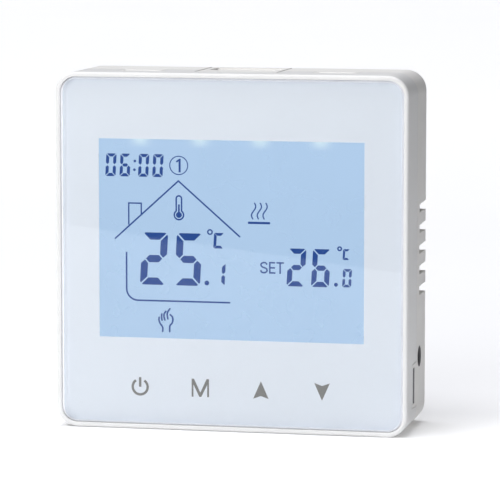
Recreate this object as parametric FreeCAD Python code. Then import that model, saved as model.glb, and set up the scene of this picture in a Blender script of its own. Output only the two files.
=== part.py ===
import FreeCAD, Part
import os
from FreeCAD import Vector

# Wall thermostat in two units: a display unit that pushes on to a wall base.
# Frame in millimetres: origin at the centre of the base's back face, +X right, +Y into the wall, +Z up.
# The display faces -Y.  Every box below is given by its limits along X, then Y, then Z.

os.makedirs("parts", exist_ok=True)

# ---- driving dimensions of the case ----
SIZE = 86.0                # height and width of the case
DEPTH = 26.0               # wall plane to the front rim
SEAM_Y = -12.9             # plane where the two units meet
SEAM_GAP = 0.2
CORNER_R = 5.0
COVER_WALL = 2.0
BASE_WALL = 2.8
RIM_WIDTH = 1.15           # bright frame round the panel
RIM_ROUND = 0.7
FIT = 0.15                 # general clearance between fitted pieces
HALF = SIZE / 2.0
FRONT_Y = -DEPTH
OVER = 1.0                 # how far a cutting tool runs past the face that it cuts

# ---- stack behind the rim, from the front towards the wall ----
PANEL_RECESS = 0.45
PANEL_T = 1.2
PANEL_GAP = 0.1
PANEL_BEVEL = 0.45
MASK_T = 0.15
COVER_FRONT_T = 1.5
POLARISER_T = 0.2
GLASS_T = 1.1
GUIDE_T = 3.0
HOLDER_FLOOR_T = 1.0
BOARD_T = 1.6
PANEL_Y = FRONT_Y + PANEL_RECESS
MASK_Y = PANEL_Y + PANEL_T
COVER_Y = MASK_Y + MASK_T
COVER_BACK_Y = COVER_Y + COVER_FRONT_T
STACK_Y = COVER_Y + 0.1
FRONT_GLASS_Y = STACK_Y + POLARISER_T
REAR_GLASS_Y = FRONT_GLASS_Y + GLASS_T
REAR_POLARISER_Y = REAR_GLASS_Y + GLASS_T
GUIDE_Y = REAR_POLARISER_Y + POLARISER_T
REFLECTOR_Y = GUIDE_Y + GUIDE_T
HOLDER_Y = REFLECTOR_Y + POLARISER_T
BOARD_Y = HOLDER_Y + HOLDER_FLOOR_T
BOARD_BACK_Y = BOARD_Y + BOARD_T

# ---- display window and keys ----
VIEW_W = 64.8
VIEW_H = 48.0
VIEW_X = -0.26             # the window's centre
VIEW_Z = 3.0
GLASS_W = 70.0
GLASS_TOP = 30.5
GLASS_BOTTOM = -25.5
LEDGE_H = 2.6              # strip of the rear glass that carries the pins
KEY_PITCH = 14.9
KEY_Z = -32.8
KEY_HOLE_R = 4.3
KEY_XS = [(i - 1.5) * KEY_PITCH for i in range(4)]
LED_PITCH = 15.3
LED_X = -1.0               # the row of lamps sits a little left of centre
PIN_PITCH = 2.54

# ---- snap loops, release finger, vents and sensor port ----
LOOP_W = 10.5
LOOP_REACH = 6.2           # how far a loop runs past the seam
LOOP_WINDOW_W = 8.7
LOOP_WINDOW_D = 2.2
LOOP_BAR = 0.9             # bar in front of the loop's window
LOOP_LEAD = 0.4            # bevel on the back edge of the upper loops' windows
SIDE_LOOP_Z = -31.75
TOP_LOOP_X = 23.8
FINGER_W = 19.4
FINGER_SLIT = 0.5
VENT_COUNT = 5
VENT_PITCH = 5.0
VENT_H = 2.25
VENT_LENGTH = 9.6
VENT_Z = 0.3
VENT_SLOPE_T = 1.4         # depth over which a vent's upper surface slopes
VENT_SLOPE_FALL = 1.2      # and how far it falls over that depth
PORT_R = 2.5
PORT_WALL = 0.6            # thickness of the wall left round the port
FILTER_R = 3.2
FILTER_T = 0.9
PORT_Y = -8.9
PORT_Z = -25.7

# ---- wall base ----
FLOOR_T = 2.2
FLOOR_Y = -FLOOR_T
LIP_H = 1.2
LIP_T = 0.6
WALL_SCREW_SPACING = 60.0
WALL_SLOT_R = 2.2
WALL_SLOT_LENGTH = 9.0
WALL_HEAD_R = 4.0
WALL_HEAD_DEPTH = 1.0
CABLE_X = 17.0
CABLE_TOP = -7.0
CABLE_BOTTOM = -25.0
POWER_BOARD_Y = -3.6       # face of the power board that is nearest the wall
POWER_FRONT_Y = POWER_BOARD_Y - BOARD_T
POWER_X = 38.6
POWER_BOTTOM = 5.6
POWER_TOP = 38.4
POWER_SCREWS = [(-36.3, 8.0), (36.3, 8.0), (-36.3, 36.0), (36.3, 36.0)]

# ---- terminals ----
WAYS = 6
WAY_PITCH = 7.62
TERMINAL_TOP = 17.0
TERMINAL_BOTTOM = 6.2
TERMINAL_H = 9.6           # height above the power board

# ---- plug-in connector between the units ----
HEADER_X = 27.5
HEADER_Z = 34.6
HEADER_WAYS = 8
HEADER_STRIP_H = 2.5
PIN_SIDE = 0.64

# ---- relay, measured from its own centre on the power board ----
RELAY_X = -23.2
RELAY_Z = 27.8
RELAY_W = 22.0
RELAY_H = 16.0
RELAY_TALL = 9.3
RELAY_WALL = 0.8
RELAY_FLOOR_LOW = 0.35
RELAY_FLOOR_HIGH = 1.5


def block(x0, x1, y0, y1, z0, z1):
    corner = Vector(min(x0, x1), min(y0, y1), min(z0, z1))
    return Part.makeBox(abs(x1 - x0), abs(y1 - y0), abs(z1 - z0), corner)


def block_at(x, z, width, height, y0, y1):
    return block(x - width / 2, x + width / 2, y0, y1, z - height / 2, z + height / 2)


def rod_y(x, z, radius, y0, y1):
    return Part.makeCylinder(radius, abs(y1 - y0), Vector(x, min(y0, y1), z), Vector(0, 1, 0))


def rod_x(y, z, radius, x0, x1):
    return Part.makeCylinder(radius, abs(x1 - x0), Vector(min(x0, x1), y, z), Vector(1, 0, 0))


def rounded(x, z, width, height, radius, y0, y1):
    """Plate with rounded corners in X-Z, between two planes along Y."""
    body = block_at(x, z, width, height, y0, y1)
    corners = [e for e in body.Edges if abs(abs(e.tangentAt(e.FirstParameter).y) - 1) < 1e-6]
    return body.makeFillet(radius, corners)


def slot_x(x, z, radius, length, y0, y1):
    """Round-ended slot through Y whose long side runs along X."""
    reach = length / 2 - radius
    middle = block(x - reach, x + reach, y0, y1, z - radius, z + radius)
    return middle.fuse([rod_y(x - reach, z, radius, y0, y1), rod_y(x + reach, z, radius, y0, y1)])


def prism(corners, run):
    """Flat straight-sided outline carried along a straight run."""
    face = Part.Face(Part.makePolygon(corners + corners[:1]))
    return face.extrude(run)


def joined(shapes):
    if len(shapes) == 1:
        return shapes[0]
    return shapes[0].fuse(shapes[1:]).removeSplitter()


def carve(body, tools):
    return body.cut(tools)


def mirrored(shape):
    return shape.mirror(Vector(0, 0, 0), Vector(1, 0, 0))


def save(node, *shapes):
    """One file per node; a node of several like pieces keeps them as separate solids."""
    solids = [solid for shape in shapes for solid in shape.Solids]
    whole = solids[0] if len(solids) == 1 else Part.makeCompound(solids)
    if not whole.isValid():
        raise ValueError(node + " is not a valid shape")
    whole.exportStep(os.path.join("parts", node + ".step"))
    print(node, len(solids), "solid(s)", round(whole.Volume, 1), "mm3")


# ---------------------------------------------------------------- display unit

COVER_END_Y = SEAM_Y - SEAM_GAP
LOOP_FRONT_Y = SEAM_Y - LOOP_REACH
LOOP_BACK_Y = LOOP_FRONT_Y + LOOP_BAR + LOOP_WINDOW_D
BOSS_XZ = 36.6
BOSS_R = 2.5
PILOT_R = 0.8


def boss_places():
    return [(sx * BOSS_XZ, sz * BOSS_XZ) for sx in (-1, 1) for sz in (-1, 1)]


def loop_places():
    """Each loop's wall and the place of its centre along that wall."""
    return [("right", SIDE_LOOP_Z), ("left", SIDE_LOOP_Z), ("top", -TOP_LOOP_X), ("top", TOP_LOOP_X)]


def wall_patch(side, centre, width, inner, outer, y0, y1):
    """Block in one wall of the case, width wide along the wall, from inner to outer off the centre."""
    low = centre - width / 2
    high = centre + width / 2
    if side == "right":
        return block(inner, outer, y0, y1, low, high)
    if side == "left":
        return block(-outer, -inner, y0, y1, low, high)
    return block(low, high, y0, y1, inner, outer)


def front_cover():
    inner = HALF - COVER_WALL
    shell = rounded(0, 0, SIZE, SIZE, CORNER_R, FRONT_Y, COVER_END_Y)
    rim_edges = [e for e in shell.Edges if abs(e.BoundBox.YMax - FRONT_Y) < 1e-6]
    shell = shell.makeFillet(RIM_ROUND, rim_edges)
    panel_half = HALF - RIM_WIDTH
    pocket = rounded(0, 0, 2 * panel_half, 2 * panel_half, CORNER_R - RIM_WIDTH, FRONT_Y - OVER, COVER_Y)
    cavity_r = CORNER_R - COVER_WALL
    cavity = rounded(0, 0, 2 * inner, 2 * inner, cavity_r, COVER_BACK_Y, COVER_END_Y + OVER)
    shell = carve(shell, [pocket, cavity])
    window_gap = 0.4
    window_w = GLASS_W + 2 * window_gap
    window_top = GLASS_TOP + window_gap
    window_bottom = GLASS_BOTTOM - 1.0
    cut_y0 = COVER_Y - OVER
    cut_y1 = COVER_BACK_Y + OVER
    cuts = [block(-window_w / 2, window_w / 2, cut_y0, cut_y1, window_bottom, window_top)]
    cuts += [rod_y(x, KEY_Z, KEY_HOLE_R, cut_y0, cut_y1) for x in KEY_XS]
    notch_y = LOOP_FRONT_Y - FIT
    for side, centre in loop_places():
        width = LOOP_W + 2 * FIT
        cuts.append(wall_patch(side, centre, width, inner - OVER, HALF + OVER, notch_y, COVER_END_Y + OVER))
    finger_w = FINGER_W + 2 * FINGER_SLIT
    cuts.append(wall_patch("top", 0, finger_w, inner - OVER, HALF + OVER, notch_y, COVER_END_Y + OVER))
    shell = carve(shell, cuts)
    root = 0.5
    root_y = COVER_BACK_Y - root
    bosses = [rod_y(x, z, BOSS_R, root_y, BOARD_Y) for x, z in boss_places()]
    pilots = [rod_y(x, z, PILOT_R, COVER_BACK_Y + root, BOARD_Y + OVER) for x, z in boss_places()]
    hook_t = 1.0
    hook_w = LOOP_WINDOW_W - 1.2
    hook_top = inner - FIT
    hooks = []
    for side, centre in loop_places():
        hooks.append(wall_patch(side, centre, hook_w, hook_top - hook_t, hook_top, root_y, LOOP_BACK_Y))
    return carve(joined([shell] + bosses + hooks), pilots)


def front_panel():
    half = HALF - RIM_WIDTH - PANEL_GAP
    radius = CORNER_R - RIM_WIDTH - PANEL_GAP
    plate = rounded(0, 0, 2 * half, 2 * half, radius, PANEL_Y, MASK_Y)
    front_edges = [e for e in plate.Edges if abs(e.BoundBox.YMax - PANEL_Y) < 1e-6]
    return plate.makeChamfer(PANEL_BEVEL, front_edges)


def panel_mask():
    half = HALF - RIM_WIDTH - PANEL_GAP
    radius = CORNER_R - RIM_WIDTH - PANEL_GAP
    film = rounded(0, 0, 2 * half, 2 * half, radius, MASK_Y, COVER_Y)
    window = block_at(VIEW_X, VIEW_Z, VIEW_W, VIEW_H, MASK_Y - OVER, COVER_Y + OVER)
    return carve(film, [window])


def glass_sheet(bottom, y0, thickness, margin=0.0):
    half = GLASS_W / 2 - margin
    return block(-half, half, y0, y0 + thickness, bottom + margin, GLASS_TOP - margin)


def lcd_parts():
    film_margin = 1.0
    save("front_polariser", glass_sheet(GLASS_BOTTOM + LEDGE_H, STACK_Y, POLARISER_T, film_margin))
    save("lcd_front_glass", glass_sheet(GLASS_BOTTOM + LEDGE_H, FRONT_GLASS_Y, GLASS_T))
    save("lcd_rear_glass", glass_sheet(GLASS_BOTTOM, REAR_GLASS_Y, GLASS_T))
    save("rear_polariser", glass_sheet(GLASS_BOTTOM, REAR_POLARISER_Y, POLARISER_T, film_margin))


GUIDE_X = 34.0
GUIDE_TOP = 28.6
GUIDE_BOTTOM = -24.0
HOLDER_X = 37.0
HOLDER_TOP = 32.4
HOLDER_BOTTOM = -28.6
LED_T = 1.2
LED_STRIP_T = 0.3
LED_Z = GUIDE_TOP + 0.1
LED_STRIP_Z = LED_Z + LED_T
PEG_R = 0.7
PEG_PLACES = [(sx * 35.9, z) for sx in (-1, 1) for z in (-27.2, 31.0)]


def light_guide():
    bevel = 0.4
    plate = block(-GUIDE_X, GUIDE_X, GUIDE_Y, REFLECTOR_Y, GUIDE_BOTTOM, GUIDE_TOP)
    lower = [e for e in plate.Edges if abs(e.BoundBox.ZMax - GUIDE_BOTTOM) < 1e-6]
    return plate.makeChamfer(bevel, [e for e in lower if e.Length > GUIDE_X])


def reflector_sheet():
    return block(-GUIDE_X, GUIDE_X, REFLECTOR_Y, HOLDER_Y, GUIDE_BOTTOM, GUIDE_TOP)


def led_places():
    return [LED_X + (i - 1.5) * LED_PITCH for i in range(4)]


def backlight():
    """Four side-firing lamps above the light guide, soldered to one narrow strip."""
    lamp_half = 1.9
    lamp_inset = 0.7
    strip_half = 28.0
    strip_inset = 0.2
    lamp_y0 = GUIDE_Y + lamp_inset
    lamp_y1 = REFLECTOR_Y - lamp_inset
    lamps = [block(x - lamp_half, x + lamp_half, lamp_y0, lamp_y1, LED_Z, LED_STRIP_Z)
             for x in led_places()]
    save("backlight_leds", *lamps)
    save("led_strip", block(LED_X - strip_half, LED_X + strip_half, GUIDE_Y + strip_inset,
                            REFLECTOR_Y - strip_inset, LED_STRIP_Z, LED_STRIP_Z + LED_STRIP_T))


def lcd_holder():
    """White tray that carries the glass and light guide and stands on the control board."""
    front_y = COVER_BACK_Y + 0.1
    glass_half = GLASS_W / 2
    film_margin = 0.5
    film_half = glass_half - film_margin
    slot_low = GLASS_BOTTOM - 1.0
    slot_high = GLASS_BOTTOM + 0.1
    peg_root = 0.5
    peg_end_y = BOARD_BACK_Y - 0.2
    tray = block(-HOLDER_X, HOLDER_X, front_y, BOARD_Y, HOLDER_BOTTOM, HOLDER_TOP)
    guide_pocket = block(-GUIDE_X - FIT, GUIDE_X + FIT, GUIDE_Y - OVER, HOLDER_Y,
                         GUIDE_BOTTOM - FIT, LED_STRIP_Z + LED_STRIP_T + FIT)
    glass_pocket = block(-glass_half - FIT, glass_half + FIT, front_y - OVER, REAR_POLARISER_Y,
                         slot_low, GLASS_TOP + FIT)
    film_pocket = block(-film_half, film_half, REAR_POLARISER_Y - OVER, GUIDE_Y,
                        GLASS_BOTTOM + film_margin, GLASS_TOP - film_margin)
    pin_slot = block(-glass_half, glass_half, front_y - OVER, BOARD_Y + OVER, slot_low, slot_high)
    pegs = [rod_y(x, z, PEG_R, BOARD_Y - peg_root, peg_end_y) for x, z in PEG_PLACES]
    return joined([carve(tray, [guide_pocket, glass_pocket, film_pocket, pin_slot])] + pegs)


LCD_PIN_COUNT = 24
LCD_PIN_W = 0.4
LCD_PIN_T = 0.25
LCD_PIN_Z = GLASS_BOTTOM - 0.3      # top of the pins' legs, just below the glass
WIRE_HOLE_R = 0.45


def lcd_pin_xs():
    return [(i - (LCD_PIN_COUNT - 1) / 2) * PIN_PITCH for i in range(LCD_PIN_COUNT)]


def lcd_pins():
    """Bent pins: each clips over the ledge of the rear glass and runs back through the control board."""
    front_y = REAR_GLASS_Y - LCD_PIN_T
    leg_end_y = BOARD_BACK_Y + 0.8
    leg_low = LCD_PIN_Z - LCD_PIN_T
    clip_high = GLASS_BOTTOM + 1.8
    half = LCD_PIN_W / 2
    pins = []
    for x in lcd_pin_xs():
        clip = block(x - half, x + half, front_y, REAR_GLASS_Y, leg_low, clip_high)
        leg = block(x - half, x + half, front_y, leg_end_y, leg_low, LCD_PIN_Z)
        pins.append(clip.fuse(leg).removeSplitter())
    return pins


BOARD_HALF = 39.4
SCREW_HOLE_R = 1.2
CRYSTAL_X = 16.0
CRYSTAL_Z = -2.0
CRYSTAL_WIRE_SPACING = 4.8


def crystal_wires():
    return [(CRYSTAL_X, CRYSTAL_Z + sign * CRYSTAL_WIRE_SPACING / 2) for sign in (-1, 1)]


def control_board():
    corner_r = 2.5
    pin_r = 0.4
    crystal_r = 0.3
    pin_z = LCD_PIN_Z - LCD_PIN_T / 2
    y0 = BOARD_Y - OVER
    y1 = BOARD_BACK_Y + OVER
    plate = rounded(0, 0, 2 * BOARD_HALF, 2 * BOARD_HALF, corner_r, BOARD_Y, BOARD_BACK_Y)
    holes = [rod_y(x, z, SCREW_HOLE_R, y0, y1) for x, z in boss_places()]
    holes += [rod_y(x, z, PEG_R + FIT, y0, y1) for x, z in PEG_PLACES]
    holes += [rod_y(x, pin_z, pin_r, y0, y1) for x in lcd_pin_xs()]
    holes += [rod_y(x, KEY_Z, WIRE_HOLE_R, y0, y1) for x in KEY_XS]
    holes += [rod_y(x, z, crystal_r, y0, y1) for x, z in crystal_wires()]
    return carve(plate, holes)


def touch_spring(x):
    """Coil spring from the control board to the back of the panel, with a closed contact pad."""
    wire_r = 0.3
    coil_r = 3.2
    pad_r = coil_r + 0.4
    sunk = 0.15
    tail_y = BOARD_BACK_Y + 0.6
    pad_y = COVER_Y + 0.1
    pad_t = 0.4
    coil_front = pad_y + pad_t + 0.2
    coil_back = BOARD_Y - 0.5
    foot_y = coil_back + 0.2
    turns = 4.0
    length = coil_back - coil_front
    helix = Part.makeHelix(length / turns, length, coil_r)
    start = helix.Edges[0].valueAt(helix.Edges[0].FirstParameter)
    tangent = helix.Edges[0].tangentAt(helix.Edges[0].FirstParameter)
    ring = Part.Wire([Part.makeCircle(wire_r, start, tangent)])
    coil = Part.Wire(helix.Edges).makePipeShell([ring], True, True)
    coil.rotate(Vector(0, 0, 0), Vector(1, 0, 0), -90)
    coil.translate(Vector(x, coil_front, KEY_Z))
    pad = rod_y(x, KEY_Z, pad_r, pad_y, coil_front + sunk)
    foot = rod_y(x, KEY_Z, pad_r, coil_back - sunk, foot_y)
    tail = rod_y(x, KEY_Z, wire_r, coil_back, tail_y)
    return joined([pad, coil, foot, tail])


class Face:
    """One side of a circuit board: places pieces by their height above it."""

    def __init__(self, y, outward):
        self.y = y
        self.outward = outward

    def at(self, height):
        return self.y + self.outward * height

    def block(self, x0, x1, z0, z1, low, high):
        return block(x0, x1, self.at(low), self.at(high), z0, z1)

    def block_at(self, x, z, width, height, low, high):
        return block_at(x, z, width, height, self.at(low), self.at(high))

    def rod(self, x, z, radius, low, high):
        return rod_y(x, z, radius, self.at(low), self.at(high))


CONTROL = Face(BOARD_BACK_Y, 1)
POWER = Face(POWER_FRONT_Y, -1)


def chip(face, x, z, width, height, body_t, per_side, pitch, four_sides):
    """Surface-mounted chip: a moulded body with bent legs on two or four sides."""
    stand = 0.1
    top = stand + body_t
    dot_r = 0.45
    dot_depth = 0.15
    inset = 1.1
    body = face.block_at(x, z, width, height, stand, top)
    dot = face.rod(x - width / 2 + inset, z + height / 2 - inset, dot_r, top - dot_depth, top + OVER)
    legs = []
    for i in range(per_side):
        offset = (i - (per_side - 1) / 2) * pitch
        for sign in (-1, 1):
            legs.append(chip_leg(face, x, z, offset, sign, height / 2, False))
            if four_sides:
                legs.append(chip_leg(face, x, z, offset, sign, width / 2, True))
    return [carve(body, [dot])] + legs


def chip_leg(face, x, z, offset, sign, inner, along_x):
    """Gull-wing leg: out from the body, down and out along the board."""
    half_w = 0.18
    thick = 0.2
    shoulder = 0.7
    knee = inner + 2 * thick
    toe = inner + 1.0
    out_run = (inner, knee, shoulder - thick, shoulder)
    down_run = (knee - thick, knee, 0, shoulder)
    toe_run = (knee - thick, toe, 0, thick)
    pieces = []
    side0 = offset - half_w
    side1 = offset + half_w
    for near, far, low, high in (out_run, down_run, toe_run):
        near = sign * near
        far = sign * far
        if along_x:
            pieces.append(face.block(x + near, x + far, z + side0, z + side1, low, high))
        else:
            pieces.append(face.block(x + side0, x + side1, z + near, z + far, low, high))
    return joined(pieces)


def microcontroller():
    side = 10.0
    body_t = 1.4
    legs_per_side = 12
    pitch = 0.8
    return chip(CONTROL, 2.0, -6.0, side, side, body_t, legs_per_side, pitch, True)


def crystal():
    width = 3.2
    length = 8.0
    corner_r = 1.2
    stand = 0.1
    tall = 3.0
    wire_r = 0.2
    wire_tip = -BOARD_T + 0.2
    can = rounded(CRYSTAL_X, CRYSTAL_Z, width, length, corner_r, CONTROL.at(stand), CONTROL.at(tall))
    wires = [CONTROL.rod(x, z, wire_r, wire_tip, stand) for x, z in crystal_wires()]
    return joined([can] + wires)


def buzzer():
    x = -24.0
    z = -14.0
    radius = 4.6
    tall = 3.2
    sound_hole_r = 1.0
    body = CONTROL.rod(x, z, radius, 0, tall)
    return carve(body, [CONTROL.rod(x, z, sound_hole_r, tall / 2, tall + OVER)])


CELL_X = 22.0
CELL_Z = -14.0
CELL_R = 6.2
CELL_T = 2.0
CELL_LIFT = 0.6


def coin_cell():
    rim_t = 0.3
    cap_r = CELL_R - 1.2
    can = CONTROL.rod(CELL_X, CELL_Z, CELL_R, CELL_LIFT + rim_t, CELL_LIFT + CELL_T)
    cap = CONTROL.rod(CELL_X, CELL_Z, cap_r, CELL_LIFT, CELL_LIFT + rim_t)
    return joined([can, cap])


def coin_cell_holder():
    """Ring with a floor under the cell and two clips over its edge."""
    outer_r = CELL_R + 1.3
    floor = CELL_LIFT - 0.1
    wall_top = CELL_LIFT + CELL_T
    clip_low = wall_top + 0.1
    clip_high = clip_low + 0.5
    clip_half = 1.5
    root = 0.5
    gap_w = 5.0
    ring = CONTROL.rod(CELL_X, CELL_Z, outer_r, 0, wall_top)
    hollow = CONTROL.rod(CELL_X, CELL_Z, CELL_R + FIT, floor, wall_top + OVER)
    finger_gap = CONTROL.block_at(CELL_X, CELL_Z, gap_w, 2 * (outer_r + OVER), floor, wall_top + OVER)
    pieces = [carve(ring, [hollow, finger_gap])]
    low = CELL_Z - clip_half
    high = CELL_Z + clip_half
    for sign in (-1, 1):
        near = CELL_X + sign * (CELL_R - 1.0)
        post = CELL_X + sign * (CELL_R + 0.4)
        far = CELL_X + sign * (outer_r - 0.1)
        pieces.append(CONTROL.block(near, far, low, high, clip_low, clip_high))
        pieces.append(CONTROL.block(post, far, low, high, wall_top - root, clip_high))
    return joined(pieces)


def chip_parts():
    """Small resistors in three rows and three capacitors, on the back of the control board."""
    per_row = 7
    first_x = -26.0
    pitch = 4.2
    stagger = 0.8
    resistor_l = 2.0
    resistor_w = 1.25
    resistor_t = 0.6
    capacitor_w = 1.6
    capacitor_l = 3.2
    capacitor_t = 1.2
    chips = []
    for row, z in enumerate((18.0, 22.0, 26.0)):
        for i in range(per_row):
            x = first_x + i * pitch + row * stagger
            chips.append(CONTROL.block_at(x, z, resistor_l, resistor_w, 0, resistor_t))
    for x, z in ((-10.0, -2.0), (-10.0, -8.0), (10.5, -14.0)):
        chips.append(CONTROL.block_at(x, z, capacitor_w, capacitor_l, 0, capacitor_t))
    return chips


def room_sensor():
    """Bead thermistor on two long leads that hold it behind the sensor port."""
    bead_x = 38.2
    bead_r = 1.2
    lead_r = 0.22
    spread = 0.6
    bead = Part.makeSphere(bead_r, Vector(bead_x, PORT_Y, PORT_Z))
    lead_end_y = PORT_Y - bead_r / 2
    lead_zs = (PORT_Z - spread, PORT_Z + spread)
    leads = [rod_y(bead_x, z, lead_r, BOARD_BACK_Y, lead_end_y) for z in lead_zs]
    return joined([bead] + leads)


HEADER_COLUMNS = HEADER_WAYS // 2
HEADER_W = HEADER_COLUMNS * PIN_PITCH
HEADER_H = 2 * PIN_PITCH
STRIP_TOP_Y = POWER_FRONT_Y - HEADER_STRIP_H
PIN_TIP_Y = STRIP_TOP_Y - 6.0
PIN_END_Y = POWER_BOARD_Y + 0.9


def header_places():
    xs = [HEADER_X + (i - (HEADER_COLUMNS - 1) / 2) * PIN_PITCH for i in range(HEADER_COLUMNS)]
    return [(x, HEADER_Z + sign * PIN_PITCH / 2) for x in xs for sign in (-1, 1)]


def header_socket():
    cell = PIN_SIDE + 2 * FIT
    gap = 0.1
    tip_room = 0.5
    body = block_at(HEADER_X, HEADER_Z, HEADER_W, HEADER_H, BOARD_BACK_Y, STRIP_TOP_Y - gap)
    y0 = PIN_TIP_Y - tip_room
    y1 = STRIP_TOP_Y + OVER
    cells = [block_at(x, z, cell, cell, y0, y1) for x, z in header_places()]
    return carve(body, cells)


SCREW_HEAD_R = 1.9
SCREW_HEAD_T = 1.2
SCREW_SHANK_R = PILOT_R - 0.02


def board_screw(x, z, head_y, towards, length):
    """Pan-head screw along Y with a cross recess; towards is the sign of Y that its shank points to."""
    top_y = head_y - towards * SCREW_HEAD_T
    crown_r = 0.6
    recess_w = 0.55
    recess_l = 2.3
    recess_depth = 0.66
    recess_y = top_y + towards * recess_depth
    head = rod_y(x, z, SCREW_HEAD_R, top_y, head_y)
    crown = [e for e in head.Edges if abs(e.CenterOfMass.y - top_y) < 1e-6]
    head = head.makeFillet(crown_r, crown)
    shank = rod_y(x, z, SCREW_SHANK_R, head_y, head_y + towards * length)
    across = block_at(x, z, recess_l, recess_w, top_y - towards * OVER, recess_y)
    upright = block_at(x, z, recess_w, recess_l, top_y - towards * OVER, recess_y)
    return carve(joined([head, shank]), [across, upright])


# ---------------------------------------------------------------- wall base

BASE_INNER = HALF - BASE_WALL


def vent_cuts():
    """Slots through both side walls, open at the wall plane; each has a sloping upper edge outside."""
    past = 0.2
    outside = HALF + OVER
    knee = HALF - VENT_SLOPE_T
    inside = BASE_INNER - past
    rise = VENT_SLOPE_FALL / VENT_SLOPE_T * OVER
    cuts = []
    for i in range(VENT_COUNT):
        z = VENT_Z + (i - (VENT_COUNT - 1) / 2) * VENT_PITCH
        low = z - VENT_H / 2
        high = z + VENT_H / 2
        top = high - VENT_SLOPE_FALL
        outline = [(outside, low), (outside, high + rise), (knee, top), (inside, top), (inside, low)]
        corners = [Vector(corner_x, -VENT_LENGTH, corner_z) for corner_x, corner_z in outline]
        slot = prism(corners, Vector(0, VENT_LENGTH + OVER, 0))
        cuts += [slot, mirrored(slot)]
    return cuts


def loop_lead(centre):
    """Bevel along the back edge of the window in an upper loop."""
    x = centre - LOOP_WINDOW_W / 2
    outline = [(0, -LOOP_LEAD), (LOOP_LEAD + OVER, OVER), (0, OVER)]
    corners = [Vector(x, LOOP_BACK_Y + back, HALF + up) for back, up in outline]
    return prism(corners, Vector(LOOP_WINDOW_W, 0, 0))


def port_cuts():
    """Round sensor port, and the wider seat behind it for the filter disc."""
    port = rod_x(PORT_Y, PORT_Z, PORT_R, BASE_INNER - OVER, HALF + OVER)
    seat = rod_x(PORT_Y, PORT_Z, FILTER_R + 0.1, BASE_INNER - OVER, HALF - PORT_WALL)
    return [port, seat]


def port_filter():
    """Open-pored disc behind the sensor port."""
    front = HALF - PORT_WALL
    return rod_x(PORT_Y, PORT_Z, FILTER_R, front - FILTER_T, front)


def wall_screw_cuts():
    head_length = WALL_SLOT_LENGTH + 2 * (WALL_HEAD_R - WALL_SLOT_R)
    cuts = []
    for sign in (-1, 1):
        x = sign * WALL_SCREW_SPACING / 2
        cuts.append(slot_x(x, 0, WALL_SLOT_R, WALL_SLOT_LENGTH, FLOOR_Y - OVER, OVER))
        cuts.append(slot_x(x, 0, WALL_HEAD_R, head_length, FLOOR_Y - OVER, FLOOR_Y + WALL_HEAD_DEPTH))
    return cuts


def finger_cuts():
    """Two slits that free the release finger, its pressing pad and the thinning behind it."""
    front_y = SEAM_Y - LIP_H - OVER
    past = 0.2
    pad_front_y = SEAM_Y + 0.6
    pad_back_y = -3.0
    pad_margin = 1.5
    cuts = []
    for sign in (-1, 1):
        middle = sign * (FINGER_W + FINGER_SLIT) / 2
        left = middle - FINGER_SLIT / 2
        cuts.append(block(left, left + FINGER_SLIT, front_y, OVER, BASE_INNER - past, HALF + OVER))
    pad_half = FINGER_W / 2 - pad_margin
    pad_depth = 0.5
    cuts.append(block(-pad_half, pad_half, pad_front_y, pad_back_y, HALF - pad_depth, HALF + OVER))
    cuts.append(block(-FINGER_W / 2, FINGER_W / 2, front_y, FLOOR_Y, BASE_INNER - OVER, HALF - COVER_WALL))
    return cuts


def wall_base():
    back_round = 0.4
    tub = rounded(0, 0, SIZE, SIZE, CORNER_R, SEAM_Y, 0)
    back_edges = [e for e in tub.Edges if abs(e.BoundBox.YMin) < 1e-6]
    tub = tub.makeFillet(back_round, back_edges)
    lip_half = HALF - COVER_WALL - FIT
    lip_front = SEAM_Y - LIP_H
    lip = rounded(0, 0, 2 * lip_half, 2 * lip_half, CORNER_R - COVER_WALL - FIT, lip_front, SEAM_Y + OVER)
    cavity_r = CORNER_R - BASE_WALL
    cavity = rounded(0, 0, 2 * BASE_INNER, 2 * BASE_INNER, cavity_r, lip_front - OVER, FLOOR_Y)
    shell = carve(tub.fuse(lip), [cavity])
    inner = HALF - COVER_WALL
    loop_end_y = SEAM_Y + 0.5
    window_y = LOOP_FRONT_Y + LOOP_BAR
    loops = [wall_patch("top", 0, FINGER_W, inner, HALF, LOOP_FRONT_Y, loop_end_y)]
    windows = []
    cut_from = inner - OVER
    cut_to = HALF + OVER
    for side, centre in loop_places():
        loops.append(wall_patch(side, centre, LOOP_W, inner, HALF, LOOP_FRONT_Y, loop_end_y))
        windows.append(wall_patch(side, centre, LOOP_WINDOW_W, cut_from, cut_to, window_y, LOOP_BACK_Y))
    windows += [loop_lead(centre) for side, centre in loop_places() if side == "top"]
    shell = joined([shell] + loops)
    cable_z = (CABLE_TOP + CABLE_BOTTOM) / 2
    cable_r = 3.0
    cable = rounded(0, cable_z, 2 * CABLE_X, CABLE_TOP - CABLE_BOTTOM, cable_r, FLOOR_Y - OVER, OVER)
    shell = carve(shell, windows + [cable] + port_cuts() + finger_cuts() + vent_cuts() + wall_screw_cuts())
    sunk = 0.3
    post_r = 2.4
    rib_t = 1.2
    rib_h = 3.0
    root_y = FLOOR_Y + sunk
    pilot_end_y = -0.9
    rib = block(CABLE_X + rib_t, CABLE_X + 2 * rib_t, FLOOR_Y - rib_h, root_y, CABLE_BOTTOM, CABLE_TOP)
    posts = [rod_y(x, z, post_r, POWER_BOARD_Y, root_y) for x, z in POWER_SCREWS]
    pilots = [rod_y(x, z, PILOT_R, POWER_BOARD_Y - OVER, pilot_end_y) for x, z in POWER_SCREWS]
    return carve(joined([shell, rib, mirrored(rib)] + posts), pilots)


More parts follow.
